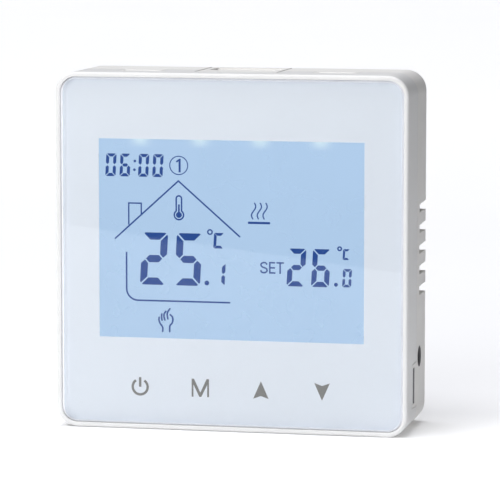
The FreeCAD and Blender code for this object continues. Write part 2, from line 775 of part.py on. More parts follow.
def power_board():
    plate = block(-POWER_X, POWER_X, POWER_FRONT_Y, POWER_BOARD_Y, POWER_BOTTOM, POWER_TOP)
    y0 = POWER_FRONT_Y - OVER
    y1 = POWER_BOARD_Y + OVER
    header_r = 0.5
    bar_pin_r = 0.75
    isolation_x = -8.9
    isolation_z = 27.5
    isolation_w = 1.0
    isolation_l = 16.0
    holes = [rod_y(x, z, SCREW_HOLE_R, y0, y1) for x, z in POWER_SCREWS]
    holes += [rod_y(x, z, header_r, y0, y1) for x, z in header_places()]
    holes += [rod_y(x, BAR_PIN_Z, bar_pin_r, y0, y1) for x in way_xs()]
    holes += [rod_y(x, z, WIRE_HOLE_R, y0, y1) for x, z in varistor_wires()]
    holes.append(block_at(isolation_x, isolation_z, isolation_w, isolation_l, y0, y1))
    return carve(plate, holes)


def header_strip():
    body = block_at(HEADER_X, HEADER_Z, HEADER_W, HEADER_H, STRIP_TOP_Y, POWER_FRONT_Y)
    y0 = STRIP_TOP_Y - OVER
    y1 = POWER_FRONT_Y + OVER
    return carve(body, [block_at(x, z, PIN_SIDE, PIN_SIDE, y0, y1) for x, z in header_places()])


def header_pins():
    return [block_at(x, z, PIN_SIDE, PIN_SIDE, PIN_TIP_Y, PIN_END_Y) for x, z in header_places()]


# Terminal: heights are above the power board.  The screw turns in place; its cage rides on the thread.
SCREW_AXIS_Z = 11.2
TERMINAL_SCREW_R = 1.5
TERMINAL_HEAD_R = 2.0
HEAD_SEAT = 7.4
HEAD_TOP = 8.9
SCREW_TIP = 4.0
CAGE_LOW = 2.5
CAGE_HIGH = 6.8
CAGE_WALL = 0.7
CAGE_W = 5.0
CAGE_D = 5.4
BAR_LOW = CAGE_LOW + CAGE_WALL + 0.05
BAR_T = 0.7
BAR_W = 2.6
BAR_PIN_Z = 15.5
BAR_END = 0.4              # how far the bar and its pin run past the pin's place
BAR_PIN_HALF = 0.5
RUNNING = 0.05


def way_xs():
    return [(i - (WAYS - 1) / 2) * WAY_PITCH for i in range(WAYS)]


def terminal_block():
    """Screw terminal: each way has a screw well from the front and a wire mouth from below."""
    room = 0.2
    end_wall = 0.6
    half = WAYS * WAY_PITCH / 2 + end_wall
    body = POWER.block(-half, half, TERMINAL_BOTTOM, TERMINAL_TOP, 0, TERMINAL_H)
    well_r = TERMINAL_HEAD_R + 0.3
    shank_r = TERMINAL_SCREW_R + RUNNING
    cage_half = CAGE_W / 2 + room
    cage_low_z = SCREW_AXIS_Z - CAGE_D / 2 - room
    cage_high_z = SCREW_AXIS_Z + CAGE_D / 2 + room
    chamber_floor = 0.4
    mouth_half = 1.8
    mouth_floor = 1.0
    slot_half = BAR_W / 2 + room
    slot_end_z = BAR_PIN_Z + BAR_END + room
    pin_half = BAR_PIN_HALF + room
    pin_z = BAR_PIN_Z - 0.5
    cuts = []
    for x in way_xs():
        cuts.append(POWER.rod(x, SCREW_AXIS_Z, well_r, HEAD_SEAT, TERMINAL_H + OVER))
        cuts.append(POWER.rod(x, SCREW_AXIS_Z, shank_r, CAGE_HIGH, TERMINAL_H))
        cuts.append(POWER.block(x - cage_half, x + cage_half, cage_low_z, cage_high_z,
                                chamber_floor, CAGE_HIGH + room))
        cuts.append(POWER.block(x - mouth_half, x + mouth_half, TERMINAL_BOTTOM - OVER, SCREW_AXIS_Z,
                                mouth_floor, BAR_LOW))
        cuts.append(POWER.block(x - slot_half, x + slot_half, SCREW_AXIS_Z, slot_end_z,
                                BAR_LOW - room, SCREW_TIP + room))
        cuts.append(POWER.block(x - pin_half, x + pin_half, pin_z, slot_end_z, -OVER, SCREW_TIP))
    return carve(body, cuts + terminal_grooves())


def terminal_grooves():
    """Shallow grooves between the ways on the block's front face."""
    half_w = 0.3
    floor = TERMINAL_H - 0.8
    low_z = TERMINAL_BOTTOM - OVER
    high_z = TERMINAL_TOP + OVER
    xs = [x + WAY_PITCH / 2 for x in way_xs()[:-1]]
    return [POWER.block(x - half_w, x + half_w, low_z, high_z, floor, TERMINAL_H + OVER) for x in xs]


def terminal_bar(x):
    """Fixed contact bar under the screw, bent down into its board pin."""
    bar_low_z = SCREW_AXIS_Z - CAGE_D / 2
    bar_high_z = BAR_PIN_Z + BAR_END
    pin_low_z = bar_high_z - BAR_T
    pin_tip = -BOARD_T - 0.9
    bar_top = BAR_LOW + BAR_T
    flat = POWER.block(x - BAR_W / 2, x + BAR_W / 2, bar_low_z, bar_high_z, BAR_LOW, bar_top)
    pin = POWER.block(x - BAR_PIN_HALF, x + BAR_PIN_HALF, pin_low_z, bar_high_z, pin_tip, bar_top)
    return joined([flat, pin])


def terminal_screw(x):
    head = POWER.rod(x, SCREW_AXIS_Z, TERMINAL_HEAD_R, HEAD_SEAT + RUNNING, HEAD_TOP)
    shank = POWER.rod(x, SCREW_AXIS_Z, TERMINAL_SCREW_R, SCREW_TIP, HEAD_SEAT + RUNNING)
    slot_depth = 0.8
    slot_w = 0.7
    slot_l = 2 * (TERMINAL_HEAD_R + OVER)
    slot = POWER.block_at(x, SCREW_AXIS_Z, slot_l, slot_w, HEAD_TOP - slot_depth, HEAD_TOP + OVER)
    return carve(joined([head, shank]), [slot])


def terminal_clamp(x):
    """Rising cage: the wall near the head rides on the screw, and the far wall lifts the wire."""
    inner_w = CAGE_W - 2 * CAGE_WALL
    bore_r = TERMINAL_SCREW_R + RUNNING
    ring = POWER.block_at(x, SCREW_AXIS_Z, CAGE_W, CAGE_D, CAGE_LOW, CAGE_HIGH)
    opening_low = CAGE_LOW + CAGE_WALL
    opening_high = CAGE_HIGH - CAGE_WALL
    opening = POWER.block_at(x, SCREW_AXIS_Z, inner_w, CAGE_D + 2 * OVER, opening_low, opening_high)
    bore = POWER.rod(x, SCREW_AXIS_Z, bore_r, CAGE_HIGH - 2 * CAGE_WALL, CAGE_HIGH + OVER)
    return carve(ring, [opening, bore])


# Relay: u runs along X and v along Z from its centre, and heights are above the power board.
COIL_V = 2.0
COIL_TALL = 5.2
COIL_R = 3.0
CORE_R = 1.4
YOKE_T = 1.0
YOKE_LEFT = -8.4
POLE_U = 4.4
ARMATURE_U = 4.85
ARMATURE_T = 0.8
HINGE_U = 4.8
HINGE_V = -1.7
YOKE_V = -2.2
IRON_LOW = 2.2
IRON_HIGH = 8.2
CONTACT_V = 6.2
CONTACT_TALL = 5.2
CONTACT_R = 0.6
BUTTON_T = 0.3
SPRING_U = ARMATURE_U + ARMATURE_T
SPRING_T = 0.2


def relay_block(u0, u1, v0, v1, low, high):
    return POWER.block(RELAY_X + u0, RELAY_X + u1, RELAY_Z + v0, RELAY_Z + v1, low, high)


def relay_case():
    stand = 0.3
    edge_r = 0.5
    outer = relay_block(-RELAY_W / 2, RELAY_W / 2, -RELAY_H / 2, RELAY_H / 2, stand, RELAY_TALL)
    top = [e for e in outer.Edges if e.BoundBox.YMax < POWER.at(RELAY_TALL) + 1e-6]
    outer = outer.makeFillet(edge_r, top)
    half_u = RELAY_W / 2 - RELAY_WALL
    half_v = RELAY_H / 2 - RELAY_WALL
    hollow = relay_block(-half_u, half_u, -half_v, half_v, stand - OVER, RELAY_TALL - RELAY_WALL)
    return carve(outer, [hollow])


def relay_base():
    """Floor that closes the relay's case."""
    half_u = RELAY_W / 2 - RELAY_WALL - RUNNING
    half_v = RELAY_H / 2 - RELAY_WALL - RUNNING
    return relay_block(-half_u, half_u, -half_v, half_v, RELAY_FLOOR_LOW, RELAY_FLOOR_HIGH)


def relay_coil():
    """Winding on a flanged bobbin, lying along X."""
    y = POWER.at(COIL_TALL)
    z = RELAY_Z + COIL_V
    left = RELAY_X + YOKE_LEFT + YOKE_T + 0.1
    right = RELAY_X + POLE_U - 0.4
    flange_t = 0.7
    flange_r = COIL_R + 0.15
    winding_r = COIL_R - 0.2
    bore_r = CORE_R + 0.02
    winding = rod_x(y, z, winding_r, left, right)
    flanges = [rod_x(y, z, flange_r, left, left + flange_t), rod_x(y, z, flange_r, right - flange_t, right)]
    bore = rod_x(y, z, bore_r, left - OVER, right + OVER)
    return carve(joined([winding] + flanges), [bore])


def relay_yoke():
    """L-shaped iron yoke with the coil's core riveted to it."""
    y = POWER.at(COIL_TALL)
    z = RELAY_Z + COIL_V
    top_v = COIL_V + COIL_R
    rail_end = HINGE_U - 0.15
    upright = relay_block(YOKE_LEFT, YOKE_LEFT + YOKE_T, YOKE_V, top_v, IRON_LOW, IRON_HIGH)
    rail = relay_block(YOKE_LEFT, rail_end, YOKE_V, YOKE_V + YOKE_T, IRON_LOW, IRON_HIGH)
    core = rod_x(y, z, CORE_R, RELAY_X + YOKE_LEFT, RELAY_X + POLE_U)
    return joined([upright, rail, core])


def relay_armature():
    """Iron plate that the coil pulls in, with the contact spring on its back."""
    inset = 0.3
    plate_v = HINGE_V - 0.9
    spring_v0 = HINGE_V - 0.5
    spring_v1 = CONTACT_V + CONTACT_R
    spring_half = 1.0
    spring_low = CONTACT_TALL - spring_half
    spring_high = CONTACT_TALL + spring_half
    plate = relay_block(ARMATURE_U, SPRING_U, plate_v, COIL_V + COIL_R, IRON_LOW + inset, IRON_HIGH - inset)
    spring = relay_block(SPRING_U, SPRING_U + SPRING_T, spring_v0, spring_v1, spring_low, spring_high)
    near = RELAY_X + SPRING_U - BUTTON_T
    far = RELAY_X + SPRING_U + SPRING_T + BUTTON_T
    button = rod_x(POWER.at(CONTACT_TALL), RELAY_Z + CONTACT_V, CONTACT_R, near, far)
    return joined([plate, spring, button])


def relay_contacts():
    """Two fixed contacts, one each side of the moving one, on posts from the relay's base."""
    y = POWER.at(CONTACT_TALL)
    z = RELAY_Z + CONTACT_V
    closing_gap = 0.62
    resting_gap = 0.04
    post_t = 0.4
    post_half = 0.7
    post_low_v = CONTACT_V - post_half
    post_high_v = CONTACT_V + post_half
    post_top = CONTACT_TALL + 0.9
    near = SPRING_U - BUTTON_T - closing_gap
    far = SPRING_U + SPRING_T + BUTTON_T + resting_gap
    posts = []
    for face, direction in ((near, -1), (far, 1)):
        back = face + direction * BUTTON_T
        outer = back + direction * post_t
        button = rod_x(y, z, CONTACT_R, RELAY_X + face, RELAY_X + back)
        post = relay_block(back, outer, post_low_v, post_high_v, RELAY_FLOOR_HIGH, post_top)
        posts.append(joined([button, post]))
    return posts


# Switching supply on the power board: places are (x, z), and a capacitor is (x, z, radius, height).
TRANSFORMER = (0.6, 27.2)
SUPPLY_CHIP = (19.0, 23.4)
DIODES = [(24.4, 25.2), (24.4, 28.0), (28.4, 25.2), (28.4, 28.0)]
CAPACITORS = [(12.2, 21.6, 3.1, 7.2), (12.4, 31.6, 4.0, 9.0)]
SAFETY_CAPACITOR = (30.4, 20.6)
VARISTOR = (33.4, 27.4)
FUSE = (30.6, 13.4)
RELAY_PINS = [(-9.0, -6.0), (-9.0, 6.0), (4.0, 6.0), (8.0, 6.0), (8.0, -6.0)]

# Transformer: a core with one leg through the bobbin, all centred at one height above the board.
CORE_W = 13.0
CORE_H = 12.0
CORE_T = 4.8
CORE_TALL = 4.8
LEG_W = 3.6
BOBBIN_W = 4.6
BOBBIN_T = 5.8
BOBBIN_END = 3.9
BOBBIN_FLANGE_T = 0.8


def transformer_block(width, height, thickness):
    x, z = TRANSFORMER
    half = thickness / 2
    return POWER.block_at(x, z, width, height, CORE_TALL - half, CORE_TALL + half)


def transformer_core():
    """Ferrite frame with a centre leg, lying flat above the board."""
    x, z = TRANSFORMER
    window_w = 3.2
    window_h = 8.0
    offset = (LEG_W + window_w) / 2
    low = CORE_TALL - CORE_T
    high = CORE_TALL + CORE_T
    windows = [POWER.block_at(x + sign * offset, z, window_w, window_h, low, high) for sign in (-1, 1)]
    return carve(transformer_block(CORE_W, CORE_H, CORE_T), windows)


def transformer_bobbin():
    x, z = TRANSFORMER
    half_w = 4.8
    low = 0.5
    high = 9.0
    tube = transformer_block(BOBBIN_W, 2 * BOBBIN_END, BOBBIN_T)
    flanges = []
    for sign in (-1, 1):
        outer_z = z + sign * BOBBIN_END
        inner_z = outer_z - sign * BOBBIN_FLANGE_T
        flanges.append(POWER.block(x - half_w, x + half_w, outer_z, inner_z, low, high))
    core_hole = transformer_block(LEG_W + 2 * RUNNING, 4 * BOBBIN_END, CORE_T + 4 * RUNNING)
    return carve(joined([tube] + flanges), [core_hole])


def transformer_winding():
    x, z = TRANSFORMER
    width = 9.2
    thickness = 8.0
    corner_r = 1.5
    length = 2 * (BOBBIN_END - BOBBIN_FLANGE_T) - RUNNING
    outer = rounded(x, 0, width, thickness, corner_r, 0, length)
    outer.rotate(Vector(x, 0, 0), Vector(1, 0, 0), 90)
    outer.translate(Vector(0, POWER.at(CORE_TALL), z - length / 2))
    hole = transformer_block(BOBBIN_W + RUNNING, 2 * length, BOBBIN_T + 2 * RUNNING)
    return carve(outer, [hole])


def smoothing_capacitors():
    """Cans with a crimped waist near the board and a scored top."""
    stand = 0.2
    crown_r = 0.4
    waist_low = 1.0
    waist_high = 1.4
    waist_depth = 0.25
    score_w = 0.25
    score_depth = 0.15
    cans = []
    for x, z, radius, tall in CAPACITORS:
        can = POWER.rod(x, z, radius, stand, tall)
        crown = [e for e in can.Edges if abs(e.BoundBox.YMax - POWER.at(tall)) < 1e-6]
        can = can.makeFillet(crown_r, crown[:1])
        core = POWER.rod(x, z, radius - waist_depth, 0, tall)
        waist = POWER.rod(x, z, radius + OVER, waist_low, waist_high).cut(core)
        score_l = radius * 1.3
        top = tall - score_depth
        score_x = POWER.block_at(x, z, score_l, score_w, top, tall + OVER)
        score_z = POWER.block_at(x, z, score_w, score_l, top, tall + OVER)
        cans.append(carve(can, [waist, score_x, score_z]))
    return cans


def safety_capacitor():
    x, z = SAFETY_CAPACITOR
    width = 13.0
    height = 5.0
    stand = 0.2
    tall = 8.6
    edge_r = 0.5
    box = POWER.block_at(x, z, width, height, stand, tall)
    upper = [e for e in box.Edges if e.BoundBox.YMax < POWER.at(tall) + 1e-6]
    return box.makeFillet(edge_r, upper)


def varistor_wires():
    x, z = VARISTOR
    half_x = 0.8
    half_z = 2.0
    return [(x + sign * half_x, z + sign * half_z) for sign in (-1, 1)]


def varistor():
    x, z = VARISTOR
    radius = 3.5
    half_t = 1.5
    bevel = 0.9
    tall = 4.6
    wire_r = 0.3
    wire_tip = -BOARD_T + 0.4
    wire_top = 2.4
    disc = rod_x(POWER.at(tall), z, radius, x - half_t, x + half_t)
    rims = [e for e in disc.Edges if e.Length > 2 * half_t + OVER]
    disc = disc.makeChamfer(bevel, rims)
    wires = [POWER.rod(wire_x, wire_z, wire_r, wire_tip, wire_top) for wire_x, wire_z in varistor_wires()]
    return joined([disc] + wires)


def fuse():
    x, z = FUSE
    y = POWER.at(2.0)
    tube_r = 1.5
    cap_r = 1.65
    cap_l = 1.8
    half = 4.6
    inner = half - cap_l
    tube = rod_x(y, z, tube_r, x - inner, x + inner)
    caps = [rod_x(y, z, cap_r, x + sign * half, x + sign * inner) for sign in (-1, 1)]
    return tube, caps


def supply_chips():
    """Switching chip with its legs, and the four flat diodes of the rectifier."""
    x, z = SUPPLY_CHIP
    width = 5.0
    height = 4.0
    body_t = 1.4
    legs_per_side = 4
    pitch = 1.27
    diode_l = 2.8
    diode_w = 1.6
    diode_t = 1.1
    pieces = chip(POWER, x, z, width, height, body_t, legs_per_side, pitch, False)
    for diode_x, diode_z in DIODES:
        pieces.append(POWER.block_at(diode_x, diode_z, diode_l, diode_w, 0, diode_t))
    return pieces


def solder_places():
    """Every wired part's joints behind the power board."""
    core_x, core_z = TRANSFORMER
    box_x, box_z = SAFETY_CAPACITOR
    core_half_x = 4.0
    core_half_z = 5.0
    box_half = 5.0
    can_half = 1.2
    places = [(x, BAR_PIN_Z) for x in way_xs()]
    places += [(core_x + sx * core_half_x, core_z + sz * core_half_z) for sx in (-1, 1) for sz in (-1, 1)]
    places += [(RELAY_X + u, RELAY_Z + v) for u, v in RELAY_PINS]
    places += [(x + sign * can_half, z) for x, z, radius, tall in CAPACITORS for sign in (-1, 1)]
    places += [(box_x + sign * box_half, box_z) for sign in (-1, 1)]
    return places


def solder_joints():
    """Domes of solder behind the power board, fitted round the terminal bars' pins."""
    dome_r = 1.0
    tip_r = 0.45
    tall = 0.9
    pin_w = 2 * BAR_PIN_HALF + 2 * RUNNING
    pin_h = BAR_T + 2 * RUNNING
    pin_z = BAR_PIN_Z + BAR_END - BAR_T / 2
    pin_tip = -BOARD_T - 2 * tall
    pin_root = -BOARD_T + RUNNING
    axis = Vector(0, 1, 0)
    roots = [Vector(x, POWER_BOARD_Y, z) for x, z in solder_places()]
    domes = [Part.makeCone(dome_r, tip_r, tall, root, axis) for root in roots]
    pins = [POWER.block_at(x, pin_z, pin_w, pin_h, pin_tip, pin_root) for x in way_xs()]
    return [dome.cut(pins) for dome in domes]


def build_display_unit():
    save("front_cover", front_cover())
    save("front_panel", front_panel())
    save("panel_mask", panel_mask())
    lcd_parts()
    save("light_guide", light_guide())
    save("reflector_sheet", reflector_sheet())
    backlight()
    save("lcd_holder", lcd_holder())
    save("lcd_pins", *lcd_pins())
    save("control_board", control_board())
    save("touch_springs", *[touch_spring(x) for x in KEY_XS])
    save("microcontroller", *microcontroller())
    save("crystal", crystal())
    save("buzzer", buzzer())
    save("coin_cell", coin_cell())
    save("coin_cell_holder", coin_cell_holder())
    save("chip_parts", *chip_parts())
    save("room_sensor", room_sensor())
    save("header_socket", header_socket())
    screw_length = 5.0
    save("display_screws", *[board_screw(x, z, BOARD_BACK_Y, -1, screw_length) for x, z in boss_places()])


def build_wall_base():
    screw_length = 4.0
    save("wall_base", wall_base())
    save("port_filter", port_filter())
    save("power_board", power_board())
    save("power_board_screws", *[board_screw(x, z, POWER_FRONT_Y, 1, screw_length)
                                 for x, z in POWER_SCREWS])
    save("header_strip", header_strip())
    save("header_pins", *header_pins())
    save("terminal_block", terminal_block())
    save("terminal_bars", *[terminal_bar(x) for x in way_xs()])
    for number, x in enumerate(way_xs(), start=1):
        save("terminal_screw_%d" % number, terminal_screw(x))
        save("terminal_clamp_%d" % number, terminal_clamp(x))
    save("relay_case", relay_case())
    save("relay_base", relay_base())
    save("relay_coil", relay_coil())
    save("relay_yoke", relay_yoke())
    save("relay_armature", relay_armature())
    save("relay_contacts", *relay_contacts())
    save("transformer_core", transformer_core())
    save("transformer_bobbin", transformer_bobbin())
    save("transformer_winding", transformer_winding())
    save("smoothing_capacitors", *smoothing_capacitors())
    save("safety_capacitor", safety_capacitor())
    save("varistor", varistor())
    tube, caps = fuse()
    save("fuse_tube", tube)
    save("fuse_caps", *caps)
    save("supply_chips", *supply_chips())
    save("solder_joints", *solder_joints())


build_display_unit()
build_wall_base()
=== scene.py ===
"""Looks of the wall thermostat: its materials, printed marks, lit display, light and camera."""

import math

import bmesh
import bpy
from mathutils import Matrix, Vector


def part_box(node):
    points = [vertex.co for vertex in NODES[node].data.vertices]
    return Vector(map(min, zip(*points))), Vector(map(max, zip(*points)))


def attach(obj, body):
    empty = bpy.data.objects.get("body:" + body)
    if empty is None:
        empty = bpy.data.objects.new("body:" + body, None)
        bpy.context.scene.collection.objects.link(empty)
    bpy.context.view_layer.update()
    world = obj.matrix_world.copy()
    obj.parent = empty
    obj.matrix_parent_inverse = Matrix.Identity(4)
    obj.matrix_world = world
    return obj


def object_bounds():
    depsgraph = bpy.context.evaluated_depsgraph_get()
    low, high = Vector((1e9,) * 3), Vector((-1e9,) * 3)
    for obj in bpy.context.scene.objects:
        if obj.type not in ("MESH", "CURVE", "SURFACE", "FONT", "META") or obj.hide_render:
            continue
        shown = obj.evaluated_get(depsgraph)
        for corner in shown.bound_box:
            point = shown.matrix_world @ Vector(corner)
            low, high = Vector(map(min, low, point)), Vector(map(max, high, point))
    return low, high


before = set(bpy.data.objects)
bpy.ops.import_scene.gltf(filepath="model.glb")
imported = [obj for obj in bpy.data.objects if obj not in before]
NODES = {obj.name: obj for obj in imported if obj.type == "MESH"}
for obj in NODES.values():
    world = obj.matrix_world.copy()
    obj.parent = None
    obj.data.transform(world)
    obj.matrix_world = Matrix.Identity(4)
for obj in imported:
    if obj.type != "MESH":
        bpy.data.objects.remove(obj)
cad_low, cad_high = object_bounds()
MM = 0.001                          # one millimetre in the frame's metres
WAYS = 6


# ---------------------------------------------------------------- material builder

def shade(red, green, blue):
    """A colour as a screen shows it, 0 to 255, turned into the linear colour that a shader takes."""
    def linear(level):
        level = level / 255
        if level <= 0.04045:
            return level / 12.92
        return ((level + 0.055) / 1.055) ** 2.4
    return (linear(red), linear(green), linear(blue))


def opaque(colour):
    return (*colour, 1.0)


def darker(colour, share):
    return tuple(level * share for level in colour)


class Look:
    """One material: a Principled surface and the textures that feed it. Sizes are in millimetres."""

    def __init__(self, name, **sockets):
        self.material = bpy.data.materials.new(name)
        self.material.use_nodes = True
        self.tree = self.material.node_tree
        self.surface = self.tree.nodes["Principled BSDF"]
        self.output = self.tree.nodes["Material Output"]
        self.place = self.node("ShaderNodeTexCoord").outputs["Object"]
        for socket, value in sockets.items():
            self.surface.inputs[socket.replace("_", " ")].default_value = value

    def node(self, kind, **settings):
        made = self.tree.nodes.new(kind)
        for name, value in settings.items():
            setattr(made, name, value)
        return made

    def feed(self, socket, value):
        """Links an output to a socket, or sets the socket to a number or a colour."""
        if isinstance(value, bpy.types.NodeSocket):
            self.tree.links.new(value, socket)
        elif isinstance(value, tuple):
            socket.default_value = opaque(value)
        else:
            socket.default_value = value

    def maths(self, operation, first, second=0.0):
        made = self.node("ShaderNodeMath", operation=operation)
        self.feed(made.inputs[0], first)
        self.feed(made.inputs[1], second)
        return made.outputs[0]

    def axis(self, name):
        """The place along one axis, in millimetres."""
        split = self.node("ShaderNodeSeparateXYZ")
        self.feed(split.inputs[0], self.place)
        return self.maths("DIVIDE", split.outputs[name], MM)

    def facing(self, name):
        """How far the surface faces along an axis, from -1 to 1."""
        split = self.node("ShaderNodeSeparateXYZ")
        self.feed(split.inputs[0], self.node("ShaderNodeNewGeometry").outputs["Normal"])
        return split.outputs[name]

    def stretched(self, stretch):
        scaled = self.node("ShaderNodeVectorMath", operation="MULTIPLY")
        self.feed(scaled.inputs[0], self.place)
        scaled.inputs[1].default_value = stretch
        return scaled.outputs[0]

    def noise(self, size, detail=2.0, stretch=None):
        """Soft noise from 0 to 1 whose blotches are about size across."""
        made = self.node("ShaderNodeTexNoise")
        self.feed(made.inputs["Vector"], self.stretched(stretch) if stretch else self.place)
        made.inputs["Scale"].default_value = 1 / (size * MM)
        made.inputs["Detail"].default_value = detail
        return made.outputs["Fac"]

    def cells(self, size):
        """Distance to the nearest of scattered points that are about size apart, as a share of size."""
        made = self.node("ShaderNodeTexVoronoi")
        self.feed(made.inputs["Vector"], self.place)
        made.inputs["Scale"].default_value = 1 / (size * MM)
        return made.outputs["Distance"]

    def bands(self, value, pitch):
        """Smooth ridges from 0 to 1, one to each pitch of value."""
        wave = self.maths("SINE", self.maths("MULTIPLY", value, 2 * math.pi / pitch))
        return self.maths("MULTIPLY", self.maths("ADD", wave, 1.0), 0.5)

    def radius(self, first, second):
        """Distance from the origin in the plane of two axes, in millimetres."""
        squares = [self.maths("POWER", self.axis(name), 2.0) for name in (first, second)]
        return self.maths("SQRT", self.maths("ADD", *squares))

    def ramp(self, factor, *stops):
        made = self.node("ShaderNodeValToRGB")
        self.feed(made.inputs[0], factor)
        elements = made.color_ramp.elements
        while len(elements) < len(stops):
            elements.new(1.0)
        for element, (position, colour) in zip(elements, stops):
            element.position = position
            element.color = opaque(colour)
        return made.outputs["Color"]

    def remap(self, value, low, high, from_low=0.3, from_high=0.7):
        made = self.node("ShaderNodeMapRange")
        self.feed(made.inputs["Value"], value)
        made.inputs["From Min"].default_value = from_low
        made.inputs["From Max"].default_value = from_high
        made.inputs["To Min"].default_value = low
        made.inputs["To Max"].default_value = high
        return made.outputs["Result"]

    def mix(self, factor, first, second):
        made = self.node("ShaderNodeMixRGB")
        self.feed(made.inputs["Fac"], factor)
        self.feed(made.inputs["Color1"], first)
        self.feed(made.inputs["Color2"], second)
        return made.outputs["Color"]

    def between(self, value, low, high):
        """1 where value is from low to high, and 0 elsewhere."""
        above = self.maths("GREATER_THAN", value, low)
        below = self.maths("LESS_THAN", value, high)
        return self.maths("MULTIPLY", above, below)

    def colour(self, value):
        self.feed(self.surface.inputs["Base Color"], value)

    def recolour(self, mask, colour):
        """Gives the surface another colour where the mask is 1."""
        tone = self.surface.inputs["Base Color"].links[0].from_socket
        self.colour(self.mix(mask, tone, colour))

    def blend(self, factor, first, second):
        """Shader that goes from the first to the second as the factor goes from 0 to 1."""
        made = self.node("ShaderNodeMixShader")
        self.feed(made.inputs[0], factor)
        self.feed(made.inputs[1], first.outputs[0])
        self.feed(made.inputs[2], second.outputs[0])
        return made

    def show(self, shader):
        self.feed(self.output.inputs["Surface"], shader.outputs[0])

    def rough(self, value, low, high):
        self.feed(self.surface.inputs["Roughness"], self.remap(value, low, high))

    def metal_where(self, value):
        self.feed(self.surface.inputs["Metallic"], value)

    def bump(self, value, height):
        """Raises the surface by up to height where value is 1."""
        made = self.node("ShaderNodeBump")
        made.inputs["Distance"].default_value = height * MM
        self.feed(made.inputs["Height"], value)
        self.feed(self.surface.inputs["Normal"], made.outputs["Normal"])


def moulded(name, dark, light, grain=0.35, relief=0.012, rough=(0.38, 0.5), blotch=14.0):
    """Moulded plastic: a fine satin grain, and a tone that drifts a little over the part."""
    look = Look(name)
    look.colour(look.ramp(look.noise(blotch), (0.3, dark), (0.7, light)))
    fine = look.noise(grain, 3.0)
    look.rough(fine, *rough)
    look.bump(fine, relief)
    return look


def brushed(name, dark, light, rough=(0.22, 0.4), stretch=(1, 1, 12), scratch=0.25, relief=0.004):
    """Plated or drawn metal: fine streaks along one way, and slightly stained."""
    look = Look(name, Metallic=1.0)
    streaks = look.noise(scratch, 4.0, stretch)
    stain = look.noise(3.0, 3.0)
    tone = look.maths("MULTIPLY", look.maths("ADD", streaks, stain), 0.5)
    look.colour(look.ramp(tone, (0.35, dark), (0.65, light)))
    look.rough(streaks, *rough)
    look.bump(streaks, relief)
    return look


def clear_film(name, tint, haze):
    """Film or glass bonded to its neighbours: it tints the light faintly, and dust hazes it a little."""
    look = Look(name, Roughness=haze)
    through = look.node("ShaderNodeBsdfTransparent")
    dulled = darker(tint, 0.997)
    look.feed(through.inputs["Color"], look.ramp(look.noise(9.0), (0.35, dulled), (0.65, tint)))
    dust = look.ramp(look.noise(2.0), (0.3, shade(200, 210, 220)), (0.7, shade(235, 240, 245)))
    look.colour(dust)
    dust_share = look.remap(look.noise(6.0), 0.001, 0.003)
    look.show(look.blend(dust_share, through, look.surface))
    return look


def dress(look, *names):
    """Gives CAD nodes a material."""
    for name in names:
        for slot in NODES[name].material_slots:
            slot.material = look.material


# ---------------------------------------------------------------- thin printed shapes

MARK_T = 0.02                       # thickness of a printed or liquid-crystal mark


class Marks:
    """Flat outlines in the X-Z plane, in millimetres, that become one thin closed mesh."""

    def __init__(self, shift=(0.0, 0.0)):
        self.mesh = bmesh.new()
        self.shift = shift

    def corner(self, point):
        x, z = point
        return self.mesh.verts.new(((x + self.shift[0]) * MM, 0.0, (z + self.shift[1]) * MM))

    def outline(self, points):
        self.mesh.faces.new([self.corner(p) for p in points])

    def strip(self, points, width, closed=False):
        """Line of one width along points, with mitred corners."""
        pairs = []
        last = len(points) - 1
        for i, point in enumerate(points):
            before = points[i - 1] if i > 0 or closed else None
            after = points[(i + 1) % len(points)] if i < last or closed else None
            side = mitre(before, point, after)
            left = (point[0] + side[0] * width / 2, point[1] + side[1] * width / 2)
            right = (point[0] - side[0] * width / 2, point[1] - side[1] * width / 2)
            pairs.append((self.corner(left), self.corner(right)))
        count = len(pairs) if closed else last
        for i in range(count):
            a, b = pairs[i]
            c, d = pairs[(i + 1) % len(pairs)]
            self.mesh.faces.new([a, c, d, b])

    def ring(self, x, z, radius, width, start=0.0, sweep=360.0):
        """Circle or arc, measured to the middle of its line."""
        closed = sweep >= 360.0
        self.strip(arc(x, z, radius, start, sweep)[:-1 if closed else None], width, closed)

    def disc(self, x, z, radius):
        self.outline(arc(x, z, radius, 0.0, 360.0)[:-1])

    def piece(self, name, look, front):
        """Turns the outlines into a piece of the display unit whose front is at that Y, in millimetres."""
        faces = list(self.mesh.faces)
        bmesh.ops.recalc_face_normals(self.mesh, faces=faces)
        grown = bmesh.ops.extrude_face_region(self.mesh, geom=faces)["geom"]
        moved = [g for g in grown if isinstance(g, bmesh.types.BMVert)]
        bmesh.ops.translate(self.mesh, verts=moved, vec=(0.0, MARK_T * MM, 0.0))
        bmesh.ops.recalc_face_normals(self.mesh, faces=list(self.mesh.faces))
        data = bpy.data.meshes.new(name)
        self.mesh.to_mesh(data)
        self.mesh.free()
        data.transform(Matrix.Translation((0.0, front * MM, 0.0)))
        data.materials.append(look.material)
        made = bpy.data.objects.new(name, data)
        bpy.context.scene.collection.objects.link(made)
        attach(made, "display_unit")


def mitre(before, point, after):
    """Sideways step at a point of a line, long enough to keep the line's width round the corner."""
    def unit(start, end):
        length = math.hypot(end[0] - start[0], end[1] - start[1])
        return ((end[0] - start[0]) / length, (end[1] - start[1]) / length)
    if before is None:
        run = unit(point, after)
        return (-run[1], run[0])
    if after is None:
        run = unit(before, point)
        return (-run[1], run[0])
    first = unit(before, point)
    second = unit(point, after)
    middle = unit((0, 0), (first[0] + second[0], first[1] + second[1]))
    sharpest = 0.3
    stretch = 1 / max(sharpest, middle[0] * first[0] + middle[1] * first[1])
    return (-middle[1] * stretch, middle[0] * stretch)


